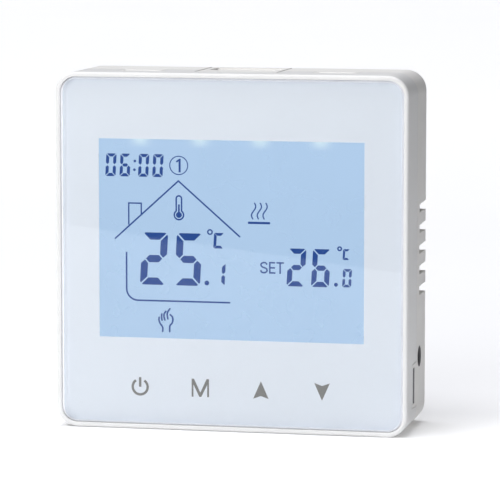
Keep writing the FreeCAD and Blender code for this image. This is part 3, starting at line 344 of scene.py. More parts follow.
def arc(x, z, radius, start, sweep):
    """Points round a centre, from start through sweep, in degrees anticlockwise from +X."""
    steps = max(6, round(abs(sweep) / 7.5))
    angles = [math.radians(start + sweep * i / steps) for i in range(steps + 1)]
    return [(x + radius * math.cos(a), z + radius * math.sin(a)) for a in angles]


def smooth(points, steps=8):
    """Curve through points, with rounded corners."""
    ends = [points[0]] + list(points) + [points[-1]]
    line = []
    for i in range(len(points) - 1):
        p0, p1, p2, p3 = ends[i:i + 4]
        for step in range(steps):
            t = step / steps
            line.append(tuple(0.5 * (2 * b + (c - a) * t + (2 * a - 5 * b + 4 * c - d) * t * t
                                     + (3 * b - a - 3 * c + d) * t ** 3)
                              for a, b, c, d in zip(p0, p1, p2, p3)))
    return line + [points[-1]]


# ---------------------------------------------------------------- lit display

SLANT = 0.055                       # how far the digits lean, along X for each unit of height
LINE_W = 0.37
LAYER_SHIFT = (-0.32, -0.17)        # from where the camera sees the marks to where they lie, deeper in
SEGMENTS = {"0": "abcdef", "1": "bc", "2": "abged", "5": "afgcd", "6": "afgedc", "C": "afed"}


def segment_shapes(width, height, stroke, gap):
    """Outline of each of the seven bars of a digit, with mitred joints and blunted outer corners."""
    middle = height / 2
    inner = width - stroke
    blunt = 0.13 * stroke
    tip = 0.45 * stroke
    half = stroke / 2

    def upside_down(points):
        return [(x, height - z) for x, z in points]

    def reversed_x(points):
        return [(width - x, z) for x, z in points]

    shoulder = gap + 2.2 * blunt
    top = [(shoulder, height), (width - shoulder, height), (width - gap - blunt, height - blunt),
           (inner - gap, height - stroke), (stroke + gap, height - stroke), (gap + blunt, height - blunt)]
    right = [(width - blunt, height - gap - blunt), (width, height - gap - 2.5 * blunt),
             (width, middle + half + gap), (inner + tip, middle + gap),
             (inner, middle + half + gap), (inner, height - stroke - gap)]
    point = tip + 1.5 * gap
    bar = [(point, middle), (stroke + gap, middle + half), (inner - gap, middle + half),
           (width - point, middle), (inner - gap, middle - half), (stroke + gap, middle - half)]
    return {"a": top, "d": upside_down(top), "b": right, "c": upside_down(right), "g": bar,
            "f": reversed_x(right), "e": reversed_x(upside_down(right))}


def write_digits(marks, text, places, foot, width, height, stroke, gap):
    """Digits of seven bars, each with its left edge at one of the places."""
    shapes = segment_shapes(width, height, stroke, gap)
    for letter, left in zip(text, places):
        for bar in SEGMENTS[letter]:
            marks.outline([(left + x + SLANT * z, foot + z) for x, z in shapes[bar]])


def write_celsius(marks, left, foot, width, height, stroke, ring_x, ring_z, ring_r):
    """The C of three bars with the degree ring before it."""
    gap, blunt, ring_w = 0.06, 0.1, 0.34
    shapes = segment_shapes(width, height, stroke, gap)
    side = [(stroke, height - stroke - gap), (stroke, stroke + gap), (blunt, gap + blunt), (0.0, 2.5 * gap),
            (0.0, height - 2.5 * gap), (blunt, height - gap - blunt)]
    for points in (shapes["a"], shapes["d"], side):
        marks.outline([(left + x + SLANT * z, foot + z) for x, z in points])
    marks.ring(ring_x, ring_z, ring_r, ring_w)


def rounded_line(marks, points, width):
    """Line with round ends."""
    marks.strip(points, width)
    for end, near in ((points[0], points[1]), (points[-1], points[-2])):
        out = math.degrees(math.atan2(end[1] - near[1], end[0] - near[0]))
        marks.outline(arc(end[0], end[1], width / 2, out - 90.0, 180.0))


def time_marks(look, front):
    marks = Marks(LAYER_SHIFT)
    places = (-31.15, -27.63, -23.05, -19.52)
    write_digits(marks, "0600", places, foot=17.95, width=2.55, height=5.5, stroke=0.77, gap=0.13)
    colon_x, colon_foot, colon_r = -24.0, 18.0, 0.32
    for z in (19.6, 21.7):
        marks.disc(colon_x + SLANT * (z - colon_foot), z, colon_r)
    marks.piece("display_time", look, front)


def badge_marks(look, front):
    """A 1 in a ring."""
    badge = Marks(LAYER_SHIFT)
    x, z = -12.97, 20.84
    badge.ring(x, z, radius=2.2, width=0.24)
    left, right, foot, top = x - 0.03, x + 0.47, z - 1.65, z + 1.6
    badge.outline([(left, foot), (right, foot), (right, top), (x + 0.12, top), (x - 0.7, z + 1.0),
                   (x - 0.5, z + 0.66), (left, z + 1.0)])
    badge.piece("display_period_badge", look, front)


def house_marks(look, front):
    """Roof, chimney, and one wall that bends into the floor."""
    marks = Marks(LAYER_SHIFT)
    eaves_left, ridge, eaves_right = (-28.8, 2.85), (-13.07, 17.1), (2.05, 3.95)
    marks.strip([eaves_left, ridge, eaves_right], LINE_W)
    left, right, chimney_top = -25.35, -22.25, 11.55
    chimney = [(left, 6.3), (left, chimney_top), (right, chimney_top), (right, 8.95)]
    marks.strip(chimney, LINE_W - 0.03)
    corner_r = 2.8
    wall_x, wall_top, floor_z, floor_end = -25.95, -0.3, -11.97, -0.35
    bend = arc(wall_x + corner_r, floor_z + corner_r, corner_r, 180.0, 90.0)
    marks.strip([(wall_x, wall_top)] + bend + [(floor_end, floor_z)], LINE_W + 0.03)
    marks.piece("display_house", look, front)


def thermometer_marks(look, front):
    marks = Marks(LAYER_SHIFT)
    x, bulb_z, tube_top = -12.95, 8.92, 12.85
    tube_r, bulb_r = 0.66, 1.14
    meet = math.degrees(math.asin(tube_r / bulb_r))
    line = arc(x, tube_top, tube_r, 0.0, 180.0) + arc(x, bulb_z, bulb_r, 90.0 + meet, 360.0 - 2 * meet)
    marks.strip(line, LINE_W - 0.01, closed=True)
    fill_r, column_top, column_w = 0.72, 11.45, 0.42
    marks.disc(x, bulb_z, fill_r)
    marks.strip([(x, bulb_z + fill_r - 0.06), (x, column_top)], column_w)
    marks.piece("display_thermometer", look, front)


def room_marks(look, front):
    marks = Marks(LAYER_SHIFT)
    write_digits(marks, "25", (-22.65, -14.15), foot=-8.1, width=6.35, height=12.65, stroke=1.74, gap=0.25)
    write_digits(marks, "1", (-4.15,), foot=-7.95, width=2.4, height=5.5, stroke=0.86, gap=0.12)
    marks.disc(-6.1, -7.35, radius=0.58)
    write_celsius(marks, left=-4.5, foot=1.05, width=2.45, height=3.75, stroke=0.68,
                  ring_x=-5.32, ring_z=4.98, ring_r=0.54)
    marks.piece("display_room_temperature", look, front)


def write_set(marks, foot, height, weight):
    """The word SET, with plain letters of one weight."""
    top, half = foot + height, weight / 2
    letter_s = [(1.62, 0.8), (1.3, 0.96), (0.85, 1.0), (0.35, 0.93), (0.12, 0.76), (0.35, 0.6),
                (0.85, 0.51), (1.38, 0.42), (1.62, 0.24), (1.38, 0.07), (0.85, 0.0), (0.3, 0.06),
                (0.05, 0.24)]
    s_left = 7.05
    marks.strip(smooth([(s_left + x, foot + z * height) for x, z in letter_s]), weight)
    left, right = 9.15, 10.6
    stem, foot_end, top_end = left + weight, right + 0.1, right + 0.05
    middle = foot + height / 2
    marks.outline([(left, foot - half), (foot_end, foot - half), (foot_end, foot + half),
                   (stem, foot + half), (stem, middle - half), (right, middle - half),
                   (right, middle + half), (stem, middle + half), (stem, top - half),
                   (top_end, top - half), (top_end, top + half), (left, top + half)])
    left, right = 10.95, 12.75
    middle = (left + right) / 2
    marks.outline([(middle - half, foot - half), (middle + half, foot - half), (middle + half, top - half),
                   (right, top - half), (right, top + half), (left, top + half), (left, top - half),
                   (middle - half, top - half)])


def set_marks(look, front):
    marks = Marks(LAYER_SHIFT)
    write_digits(marks, "26", (13.4, 19.35), foot=-7.6, width=4.35, height=9.1, stroke=1.25, gap=0.19)
    write_digits(marks, "0", (26.9,), foot=-7.5, width=2.15, height=4.4, stroke=0.65, gap=0.11)
    marks.disc(25.43, -6.94, radius=0.47)
    write_celsius(marks, left=27.0, foot=-0.95, width=1.65, height=2.6, stroke=0.51,
                  ring_x=26.28, ring_z=1.71, ring_r=0.42)
    write_set(marks, foot=-4.5, height=2.45, weight=0.37)
    marks.piece("display_set_temperature", look, front)


def heating_marks(look, front):
    """Three waves of warm air over a bar."""
    heat = Marks(LAYER_SHIFT)
    foot, height, swing, lean, wave_w = 8.3, 3.95, 0.42, 0.35, 0.3
    steps = 20
    for x in (5.2, 6.6, 8.0):
        wave = []
        for i in range(steps + 1):
            t = i / steps
            wave.append((x + lean * t - swing * math.sin(2 * math.pi * t), foot + height * t))
        heat.strip(wave, wave_w)
    bar_left, bar_right, bar_z, bar_w = 4.0, 9.4, 7.42, 0.55
    heat.strip([(bar_left, bar_z), (bar_right, bar_z)], bar_w)
    heat.piece("display_heating_mark", look, front)


def hand_marks(look, front):
    """Lines of a raised hand with its fingers together, each drawn downwards."""
    hand = Marks(LAYER_SHIFT)
    left, top, line_w = -18.1, -13.7, 0.4
    strokes = [[(0.2, 2.3), (0.15, 2.9), (0.4, 3.7), (1.05, 4.7), (1.05, 5.7)],
               [(0.85, 1.5), (0.8, 2.15), (0.9, 2.95)],
               [(1.85, 0.8), (1.45, 1.4), (1.4, 2.1), (1.6, 2.9)],
               [(2.85, 0.15), (2.35, 0.9), (2.2, 1.6), (2.35, 2.6)],
               [(2.95, 1.6), (3.45, 2.1), (3.6, 2.9), (3.35, 3.7), (2.85, 4.3), (2.8, 5.7)]]
    for stroke in strokes:
        rounded_line(hand, smooth([(left + x, top - z) for x, z in stroke], 5), line_w)
    hand.piece("display_hand_mark", look, front)


def key_marks(look, front):
    """Grey marks printed behind the clear panel, one over each touch spring."""
    pitch, row, shift = 14.9, -32.8, -0.27
    keys = [(i - 1.5) * pitch + shift for i in range(4)]
    power_mark(look, front, keys[0], row)
    mode_mark(look, front, keys[1], row)
    for name, x, way in (("key_mark_up", keys[2], 1), ("key_mark_down", keys[3], -1)):
        arrow = Marks()
        tip, base, notch, wing = 2.1, 2.15, 1.45, 1.9
        arrow.outline([(x, row + way * tip), (x + wing, row - way * base), (x, row - way * notch),
                       (x - wing, row - way * base)])
        arrow.piece(name, look, front)


def power_mark(look, front, x, row):
    """Ring that is open at the top, with an upright bar in the opening."""
    power = Marks()
    stroke, ring_r, bar_top = 0.6, 1.86, row + 2.15
    middle = row - 0.2
    power.ring(x, middle, ring_r, stroke, start=124.0, sweep=292.0)
    power.strip([(x, bar_top), (x, middle)], stroke)
    power.piece("key_mark_power", look, front)


def mode_mark(look, front, x, row):
    """The letter M."""
    letter = Marks()
    half, foot, top = 2.14, row - 2.18, row + 2.2
    leg, flank, nose, crotch, drop = 0.44, 0.58, 0.24, 1.05, 1.4
    letter.outline([(x - half, foot), (x - half, top), (x - half + flank, top), (x, foot + crotch),
                    (x + half - flank, top), (x + half, top), (x + half, foot), (x + half - leg, foot),
                    (x + half - leg, top - drop), (x + nose, foot), (x - nose, foot),
                    (x - half + leg, top - drop), (x - half + leg, foot)])
    letter.piece("key_mark_mode", look, front)


# ---------------------------------------------------------------- materials of the shell and the display

def loop_window_shade(look):
    """The front and back walls of the windows in the two side loops, which get painted shade."""
    side_x, window_front, window_back = 41.0, -18.5, -15.9
    wall = look.maths("GREATER_THAN", look.maths("ABSOLUTE", look.facing("Y")), 0.5)
    at_side = look.maths("GREATER_THAN", look.maths("ABSOLUTE", look.axis("X")), side_x)
    at_window = look.between(look.axis("Y"), window_front, window_back)
    return look.maths("MULTIPLY", wall, look.maths("MULTIPLY", at_side, at_window))


def port_wall_shade(look):
    """The round wall of the sensor port, in front of its filter, which gets painted shade."""
    filter_low, filter_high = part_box("port_filter")
    middle = (filter_low + filter_high) / (2 * MM)
    over = look.maths("POWER", look.maths("SUBTRACT", look.axis("Y"), middle.y), 2.0)
    up = look.maths("POWER", look.maths("SUBTRACT", look.axis("Z"), middle.z), 2.0)
    port_r, side_x = 2.55, 40.0
    inside = look.maths("LESS_THAN", look.maths("ADD", over, up), port_r ** 2)
    return look.maths("MULTIPLY", inside, look.maths("GREATER_THAN", look.axis("X"), side_x))


def shell_looks():
    # Two colours of painted shade: the lighter for the walls of the loop windows, the darker for the wall
    # of the sensor port.
    shaded, port_shade = (0.34, 0.33, 0.335), (0.20, 0.19, 0.195)
    cover = moulded("cover_plastic_look", (0.752, 0.750, 0.742), (0.777, 0.775, 0.767))
    # Painted shade on the walls of the loop windows.
    cover.recolour(loop_window_shade(cover), shaded)
    dress(cover, "front_cover")
    base = moulded("base_plastic_look", (0.80, 0.79, 0.765), (0.835, 0.825, 0.80), grain=0.5,
                   relief=0.02, rough=(0.45, 0.6))
    # Painted shade on the walls of the loop windows.
    base.recolour(loop_window_shade(base), shaded)
    # Painted shade on the wall of the sensor port.
    base.recolour(port_wall_shade(base), port_shade)
    dress(base, "wall_base")
    foam = Look("filter_foam_look", Roughness=0.9, Specular_IOR_Level=0.05)
    pores = foam.cells(0.45)
    foam.colour(foam.ramp(pores, (0.2, (0.004, 0.004, 0.005)), (0.6, (0.016, 0.016, 0.017))))
    foam.bump(pores, 0.15)
    dress(foam, "port_filter")


PANEL_EDGE = 41.75                  # from the panel's middle to its border
PANEL_FRONT_Y = -24.7               # the panel's front face and edges lie before this


def painted_edge_light(look):
    """Painted light that brightens the borders of the panel and of its print, lifting the shade there: most
    at the left and none at the right.
    """
    def border(axis, way, reach, level):
        place = look.maths("MULTIPLY", look.axis(axis), way)
        near = look.remap(place, 0.0, 1.0, PANEL_EDGE - reach, PANEL_EDGE)
        return look.maths("MULTIPLY", look.maths("POWER", near, 2.0), level)
    left = border("X", -1.0, reach=2.2, level=0.33)
    top = border("Z", 1.0, reach=2.4, level=0.03)
    bottom = border("Z", -1.0, reach=2.4, level=0.06)
    return look.maths("ADD", left, look.maths("ADD", top, bottom))


def panel_look():
    """Clear acrylic: it lets light through and reflects at its front; its cut edges are frosted and glow
    with painted light along the borders.
    """
    look = Look("panel_clear_look")
    through = look.node("ShaderNodeBsdfTransparent")
    tint = look.ramp(look.noise(30.0), (0.3, (0.978, 0.988, 0.993)), (0.7, (0.98, 0.99, 0.995)))
    look.feed(through.inputs["Color"], tint)
    gloss = look.node("ShaderNodeBsdfGlossy")
    gloss.inputs["Color"].default_value = opaque((1, 1, 1))
    look.feed(gloss.inputs["Roughness"], look.remap(look.noise(5.0), 0.0, 0.03))
    slant = look.node("ShaderNodeLayerWeight")
    slant.inputs["Blend"].default_value = 0.5
    straight_on, gained = 0.035, 0.96
    grazing = look.maths("MULTIPLY", look.maths("POWER", slant.outputs["Facing"], 5.0), gained)
    reflected = look.maths("ADD", grazing, straight_on)
    front = look.maths("LESS_THAN", look.axis("Y"), PANEL_FRONT_Y)
    clear = look.blend(look.maths("MULTIPLY", reflected, front), through, gloss)
    look.colour(look.ramp(look.noise(4.0), (0.3, (0.84, 0.86, 0.92)), (0.7, (0.87, 0.89, 0.95))))
    look.rough(look.noise(0.6), 0.25, 0.4)
    look.surface.inputs["Emission Strength"].default_value = 1.0
    # Painted light: the cut edges glow along the panel's borders.
    look.feed(look.surface.inputs["Emission Color"], painted_edge_light(look))
    cut_edge = look.maths("LESS_THAN", look.maths("ABSOLUTE", look.facing("Y")), 0.9)
    look.show(look.blend(cut_edge, clear, look.surface))
    dress(look, "front_panel")


def mask_look():
    """Cool white print behind the panel, with painted light that makes it a little paler towards its upper
    left and brighter along its borders.
    """
    look = Look("mask_print_look", Emission_Strength=1.0)
    # Painted light: the print is paler towards its upper left, where the light comes from.
    height = look.maths("SUBTRACT", look.axis("Z"), look.maths("MULTIPLY", look.axis("X"), 0.5))
    drift = look.remap(look.noise(25.0), -1.5, 1.5)
    place = look.remap(look.maths("ADD", height, drift), 0.0, 1.0, -50.0, 50.0)
    look.colour(look.mix(place, (0.688, 0.710, 0.753), (0.750, 0.773, 0.817)))
    # Painted light: the print glows along its borders.
    look.feed(look.surface.inputs["Emission Color"], painted_edge_light(look))
    dots = look.noise(0.15, 1.0)
    look.rough(dots, 0.45, 0.55)
    look.bump(dots, 0.002)
    dress(look, "panel_mask")


LAMP_PITCH = 14.7
FIRST_LAMP_X = -22.8
LAMP_EDGE_Z = 26.9
LAMP_FADE = 2.2                     # how far below the upper edge the lamps still show


def lamp_glow(look):
    """How strongly the lamps along the top show: 1 right below a lamp, and 0 between or far below."""
    along = look.maths("SUBTRACT", look.axis("X"), FIRST_LAMP_X - LAMP_PITCH / 4)
    near_lamp = look.maths("POWER", look.bands(along, LAMP_PITCH), 5.0)
    below = look.remap(look.axis("Z"), 0.0, 1.0, LAMP_EDGE_Z - LAMP_FADE, LAMP_EDGE_Z)
    return look.maths("MULTIPLY", near_lamp, below)


def lit_glass_look():
    """The glass with the lit field behind it: pale blue, brighter under the lamps."""
    look = Look("lcd_lit_look", Roughness=0.08, Emission_Strength=1.0)
    look.colour(look.ramp(look.noise(8.0), (0.3, (0.010, 0.012, 0.016)), (0.7, (0.014, 0.016, 0.020))))
    drift = look.ramp(look.noise(30.0), (0.3, (0.490, 0.655, 0.890)), (0.7, (0.494, 0.659, 0.895)))
    look.feed(look.surface.inputs["Emission Color"], look.mix(lamp_glow(look), drift, (0.76, 0.90, 1.0)))
    field_foot, field_top, foot_light = -21.0, 27.0, 0.965
    strength = look.remap(look.axis("Z"), foot_light, 1.0, field_foot, field_top)
    look.feed(look.surface.inputs["Emission Strength"], strength)
    dress(look, "lcd_rear_glass")


def display_layer_looks():
    """The layers before and behind the lit glass, and the tray that holds them."""
    dress(clear_film("front_polariser_look", (0.985, 0.99, 0.995), 0.2), "front_polariser")
    dress(clear_film("lcd_front_glass_look", (0.985, 0.995, 0.99), 0.1), "lcd_front_glass")
    rear = Look("rear_polariser_look", Roughness=0.25)
    rear.colour(rear.ramp(rear.noise(6.0), (0.3, (0.30, 0.34, 0.40)), (0.7, (0.34, 0.38, 0.44))))
    dress(rear, "rear_polariser")
    guide = Look("light_guide_look", Roughness=0.12, Emission_Strength=0.35)
    dot_pitch, dot_share = 1.1, 0.28
    dots = guide.maths("LESS_THAN", guide.cells(dot_pitch), dot_share)
    guide.colour(guide.mix(dots, (0.62, 0.76, 0.90), (0.86, 0.93, 1.0)))
    glow = guide.mix(dots, (0.30, 0.45, 0.75), (0.55, 0.72, 1.0))
    guide.feed(guide.surface.inputs["Emission Color"], glow)
    guide.bump(dots, 0.02)
    dress(guide, "light_guide")
    sheet = moulded("reflector_look", (0.86, 0.87, 0.88), (0.92, 0.92, 0.92), grain=0.2, relief=0.006)
    dress(sheet, "reflector_sheet")
    lamp = Look("led_look", Roughness=0.3, Emission_Strength=0.6)
    window = lamp.between(lamp.facing("Z"), -1.1, -0.5)
    lamp.colour(lamp.mix(window, (0.80, 0.80, 0.78), (0.90, 0.75, 0.20)))
    lit = lamp.mix(window, (0.0, 0.0, 0.0), (0.75, 0.85, 1.0))
    lamp.feed(lamp.surface.inputs["Emission Color"], lit)
    dress(lamp, "backlight_leds")
    film = Look("flex_film_look", Roughness=0.35)
    track_pitch, track_crest = 0.8, 0.55
    tracks = film.maths("GREATER_THAN", film.bands(film.axis("Y"), track_pitch), track_crest)
    film.colour(film.mix(tracks, (0.45, 0.17, 0.03), (0.62, 0.30, 0.07)))
    film.bump(tracks, 0.02)
    dress(film, "led_strip")
    tray = moulded("holder_look", (0.80, 0.80, 0.78), (0.87, 0.87, 0.85), grain=0.6, relief=0.02,
                   rough=(0.5, 0.65))
    dress(tray, "lcd_holder")


def mark_look(name, dark, light):
    """Liquid-crystal mark: it holds back most of the light behind it."""
    look = Look(name, Roughness=0.3, Emission_Strength=1.0)
    look.colour(look.ramp(look.noise(1.0), (0.3, (0.006, 0.008, 0.02)), (0.7, (0.010, 0.012, 0.03))))
    look.feed(look.surface.inputs["Emission Color"], look.ramp(look.noise(2.5), (0.3, dark), (0.7, light)))
    return look


def key_look():
    """Warm grey ink of the four key marks."""
    look = Look("key_mark_look", Roughness=0.55)
    look.colour(look.ramp(look.noise(0.5), (0.3, (0.140, 0.136, 0.126)), (0.7, (0.165, 0.160, 0.150))))
    look.bump(look.noise(0.15), 0.002)
    return look


# ---------------------------------------------------------------- materials of the inner parts

def board_look(name):
    """Solder mask: deep green, paler over the copper tracks, with bare laminate on the cut edges."""
    look = Look(name)
    thread_w, ply_t, lane_pitch, lane_crest = 0.35, 0.12, 1.27, 0.72
    lanes_x = look.maths("GREATER_THAN", look.bands(look.axis("X"), lane_pitch), lane_crest)
    lanes_z = look.maths("GREATER_THAN", look.bands(look.axis("Z"), lane_pitch), lane_crest)
    patch = look.maths("GREATER_THAN", look.noise(9.0, 0.0), 0.5)
    pour = look.maths("GREATER_THAN", look.noise(16.0, 0.0), 0.56)
    lanes = look.mix(patch, lanes_x, lanes_z)
    copper = look.maths("MAXIMUM", lanes, pour)
    green = look.mix(copper, (0.010, 0.085, 0.035), (0.020, 0.16, 0.06))
    warp, weft = look.bands(look.axis("X"), thread_w), look.bands(look.axis("Z"), thread_w)
    weave = look.maths("MULTIPLY", warp, weft)
    edge = look.maths("LESS_THAN", look.maths("ABSOLUTE", look.facing("Y")), 0.5)
    plies = look.bands(look.axis("Y"), ply_t)
    laminate = look.ramp(plies, (0.3, (0.30, 0.28, 0.12)), (0.7, (0.42, 0.40, 0.20)))
    look.colour(look.mix(edge, green, laminate))
    look.rough(weave, 0.26, 0.38)
    tracks_high, weave_high = look.maths("MULTIPLY", copper, 0.8), look.maths("MULTIPLY", weave, 0.2)
    look.bump(look.maths("ADD", tracks_high, weave_high), 0.03)
    return look


def legged(name, body, legs, is_leg, body_rough=(0.45, 0.6)):
    """Moulded resin with bare metal where is_leg says so."""
    look = Look(name)
    mask = is_leg(look)
    grain = look.noise(0.12, 2.0)
    look.colour(look.mix(mask, look.ramp(grain, (0.3, darker(body, 0.8)), (0.7, body)), legs))
    look.metal_where(mask)
    legs_smoother = 0.25
    resin_rough = look.remap(grain, *body_rough)
    less = look.maths("MULTIPLY", mask, legs_smoother)
    look.feed(look.surface.inputs["Roughness"], look.maths("SUBTRACT", resin_rough, less))
    look.bump(grain, 0.008)
    return look


TIN = (0.62, 0.62, 0.60)
RESIN = (0.030, 0.030, 0.032)


def outside(look, axis, centre, half):
    """1 beyond half on either side of centre along an axis."""
    away = look.maths("ABSOLUTE", look.maths("SUBTRACT", look.axis(axis), centre))
    return look.maths("GREATER_THAN", away, half)


def square_legs(look):
    """Legs on all four sides of the microcontroller."""
    centre_x, centre_z, body_half = 2.0, -6.0, 5.0
    beside = outside(look, "X", centre_x, body_half)
    above_or_below = outside(look, "Z", centre_z, body_half)
    return look.maths("MAXIMUM", beside, above_or_below)


def supply_legs(look):
    """Legs above and below the supply chip, and bare ends on the diodes to its right."""
    diode_side, chip_z, chip_half, diode_pitch = 22.0, 23.4, 2.0, 4.0
    across = look.axis("X")
    on_chip = look.maths("LESS_THAN", across, diode_side)
    legs = look.maths("MULTIPLY", outside(look, "Z", chip_z, chip_half), on_chip)
    ends = look.between(look.bands(across, diode_pitch), 0.93, 1.1)
    stripes = look.maths("MULTIPLY", ends, look.maths("GREATER_THAN", across, diode_side))
    return look.maths("MAXIMUM", legs, stripes)


def end_caps(look):
    """Tinned faces at the two ends of each small part."""
    return look.maths("GREATER_THAN", look.maths("ABSOLUTE", look.facing("X")), 0.5)


def sensor_leads(look):
    """Bare leads between the board and the sensor's bead."""
    bead_front = -10.2
    return look.maths("LESS_THAN", look.axis("Y"), bead_front)


def chip_looks():
    dress(legged("microcontroller_look", RESIN, TIN, square_legs), "microcontroller")
    dress(legged("supply_chips_look", RESIN, TIN, supply_legs), "supply_chips")
    dress(legged("chip_parts_look", (0.16, 0.12, 0.09), TIN, end_caps), "chip_parts")
    dress(legged("room_sensor_look", RESIN, TIN, sensor_leads, (0.1, 0.25)), "room_sensor")


def of_each_way(name):
    """Names of the nodes that repeat once for each of the terminal block's ways."""
    return ["%s_%d" % (name, way) for way in range(1, WAYS + 1)]


def plated_looks():
    """Bare metal parts: for each material its dark and light tone, roughness, streaks and nodes."""
    bright, fine, sprung = (0.12, 0.25), (0.15, 0.3), (0.18, 0.3)
    satin, dull, cast = (0.22, 0.4), (0.25, 0.42), (0.3, 0.5)
    rows = (
        ("screw_steel", (0.50, 0.50, 0.47), (0.68, 0.68, 0.66), satin, (1, 6, 1),
         ["display_screws", "power_board_screws"] + of_each_way("terminal_screw")),
        ("clamp_steel", (0.55, 0.55, 0.53), (0.72, 0.72, 0.70), dull, (8, 1, 1),
         of_each_way("terminal_clamp")),
        ("tinned_steel", (0.60, 0.60, 0.59), (0.75, 0.75, 0.74), satin, (1, 8, 1), ["lcd_pins"]),
        ("fuse_caps", (0.58, 0.58, 0.56), (0.74, 0.74, 0.72), satin, (1, 8, 8), ["fuse_caps"]),
        ("spring_steel", (0.52, 0.52, 0.49), (0.70, 0.70, 0.67), sprung, (1, 1, 12), ["touch_springs"]),
        ("can_metal", (0.60, 0.60, 0.59), (0.78, 0.78, 0.77), fine, (1, 1, 6), ["crystal", "coin_cell"]),
        ("gilt_brass", (0.70, 0.48, 0.16), (0.88, 0.66, 0.28), fine, (1, 8, 1), ["header_pins"]),
        ("contact_brass", (0.55, 0.38, 0.14), (0.75, 0.56, 0.26), satin, (8, 1, 1), ["terminal_bars"]),
        ("relay_iron", (0.30, 0.30, 0.29), (0.46, 0.46, 0.45), cast, (1, 1, 8),
         ["relay_yoke", "relay_armature"]),
        ("contact_silver", (0.72, 0.72, 0.70), (0.86, 0.86, 0.84), bright, (1, 1, 12), ["relay_contacts"]),
    )
    for name, dark, light, rough, streaks, nodes in rows:
        dress(brushed(name + "_look", dark, light, rough, streaks), *nodes)
    solder = brushed("solder_look", (0.55, 0.55, 0.54), (0.72, 0.72, 0.71), rough=(0.15, 0.35),
                     stretch=(1, 1, 1), scratch=0.6, relief=0.03)
    dress(solder, "solder_joints")


def wound_looks():
    """The relay's copper coil and the transformer's taped winding."""
    wire_t = 0.16
    coil = Look("coil_copper_look", Metallic=0.9)
    turns = coil.bands(coil.axis("X"), wire_t)
    coil.colour(coil.ramp(turns, (0.1, (0.20, 0.07, 0.025)), (0.8, (0.62, 0.26, 0.10))))
    coil.rough(coil.noise(0.5), 0.25, 0.4)
    coil.bump(turns, wire_t / 2)
    dress(coil, "relay_coil")
    tape_w = 1.6
    tape = Look("winding_tape_look")
    edges = tape.maths("GREATER_THAN", tape.bands(tape.axis("Z"), tape_w), 0.96)
    wrinkle = tape.noise(1.2, 3.0, (1.0, 1.0, 4.0))
    yellow = tape.ramp(wrinkle, (0.3, (0.62, 0.42, 0.02)), (0.7, (0.78, 0.56, 0.05)))
    tape.colour(tape.mix(edges, yellow, (0.45, 0.29, 0.01)))
    tape.rough(wrinkle, 0.22, 0.4)
    tape.bump(wrinkle, 0.04)
    dress(tape, "transformer_winding")


def sleeve_look():
    """Capacitors in a dark sleeve with a pale stripe down one side, and a bare aluminium top."""
    look = Look("capacitor_sleeve_look")
    top = look.maths("LESS_THAN", look.facing("Y"), -0.7)
    stripe = look.maths("LESS_THAN", look.facing("X"), -0.93)
    sleeve = look.mix(stripe, (0.012, 0.014, 0.035), (0.42, 0.44, 0.50))
    fine = look.noise(0.3, 3.0)
    metal = look.ramp(fine, (0.3, (0.62, 0.62, 0.62)), (0.7, (0.76, 0.76, 0.76)))
    look.colour(look.mix(top, sleeve, metal))
    look.metal_where(top)
    look.rough(fine, 0.22, 0.34)
    look.bump(fine, 0.006)
    dress(look, "smoothing_capacitors")


def resin_looks():
    """Moulded and coated parts on the boards."""
    black = moulded("black_plastic_look", (0.018, 0.018, 0.019), (0.028, 0.028, 0.029), rough=(0.35, 0.5))
    dress(black, "buzzer", "coin_cell_holder", "header_socket", "header_strip", "relay_base",
          "transformer_bobbin")
    green = moulded("terminal_plastic_look", (0.012, 0.16, 0.055), (0.018, 0.21, 0.075), rough=(0.35, 0.48))
    dress(green, "terminal_block")
    blue = moulded("relay_plastic_look", (0.012, 0.045, 0.26), (0.018, 0.060, 0.32), rough=(0.2, 0.32),
                   relief=0.006)
    dress(blue, "relay_case")
    ferrite = moulded("ferrite_look", (0.018, 0.018, 0.020), (0.045, 0.045, 0.048), grain=0.18, relief=0.03,
                      rough=(0.45, 0.65), blotch=2.0)
    dress(ferrite, "transformer_core")
    yellow = moulded("capacitor_box_look", (0.62, 0.42, 0.02), (0.72, 0.50, 0.03), rough=(0.25, 0.38))
    dress(yellow, "safety_capacitor")
    ceramic = moulded("fuse_ceramic_look", (0.72, 0.70, 0.64), (0.82, 0.80, 0.75), grain=0.25, relief=0.004,
                      rough=(0.2, 0.35))
    dress(ceramic, "fuse_tube")


def varistor_look():
    """Disc in dimpled blue lacquer, with bare leads behind it."""
    disc = Look("varistor_look")
    disc_back = -6.2
    leads = disc.maths("GREATER_THAN", disc.axis("Y"), disc_back)
    dimple = disc.noise(0.9, 2.0)
    lacquer = disc.ramp(dimple, (0.3, (0.015, 0.09, 0.36)), (0.7, (0.025, 0.12, 0.42)))
    disc.colour(disc.mix(leads, lacquer, TIN))
    disc.metal_where(leads)
    disc.rough(dimple, 0.14, 0.28)
    disc.bump(dimple, 0.08)
    dress(disc, "varistor")


def part_layers(*names):
    """Draws faces that lie against the next layer back by a hair, so that no two lie in one plane."""
    gap = 0.01
    for name in names:
        thinner = NODES[name].modifiers.new("layer_gap", "DISPLACE")
        thinner.strength = -gap * MM
        thinner.mid_level = 0.0


# ---------------------------------------------------------------- floor, light and camera

def slab(name, corners, top, thickness):
    """Closed flat slab from its corners in the X-Y plane, in metres."""
    mesh = bmesh.new()
    face = mesh.faces.new([mesh.verts.new((x, y, top)) for x, y in corners])
    grown = bmesh.ops.extrude_face_region(mesh, geom=[face])["geom"]
    moved = [g for g in grown if isinstance(g, bmesh.types.BMVert)]
    bmesh.ops.translate(mesh, verts=moved, vec=(0, 0, -thickness))
    bmesh.ops.recalc_face_normals(mesh, faces=list(mesh.faces))
    data = bpy.data.meshes.new(name)
    mesh.to_mesh(data)
    mesh.free()
    made = bpy.data.objects.new(name, data)
    bpy.context.scene.collection.objects.link(made)
    return made


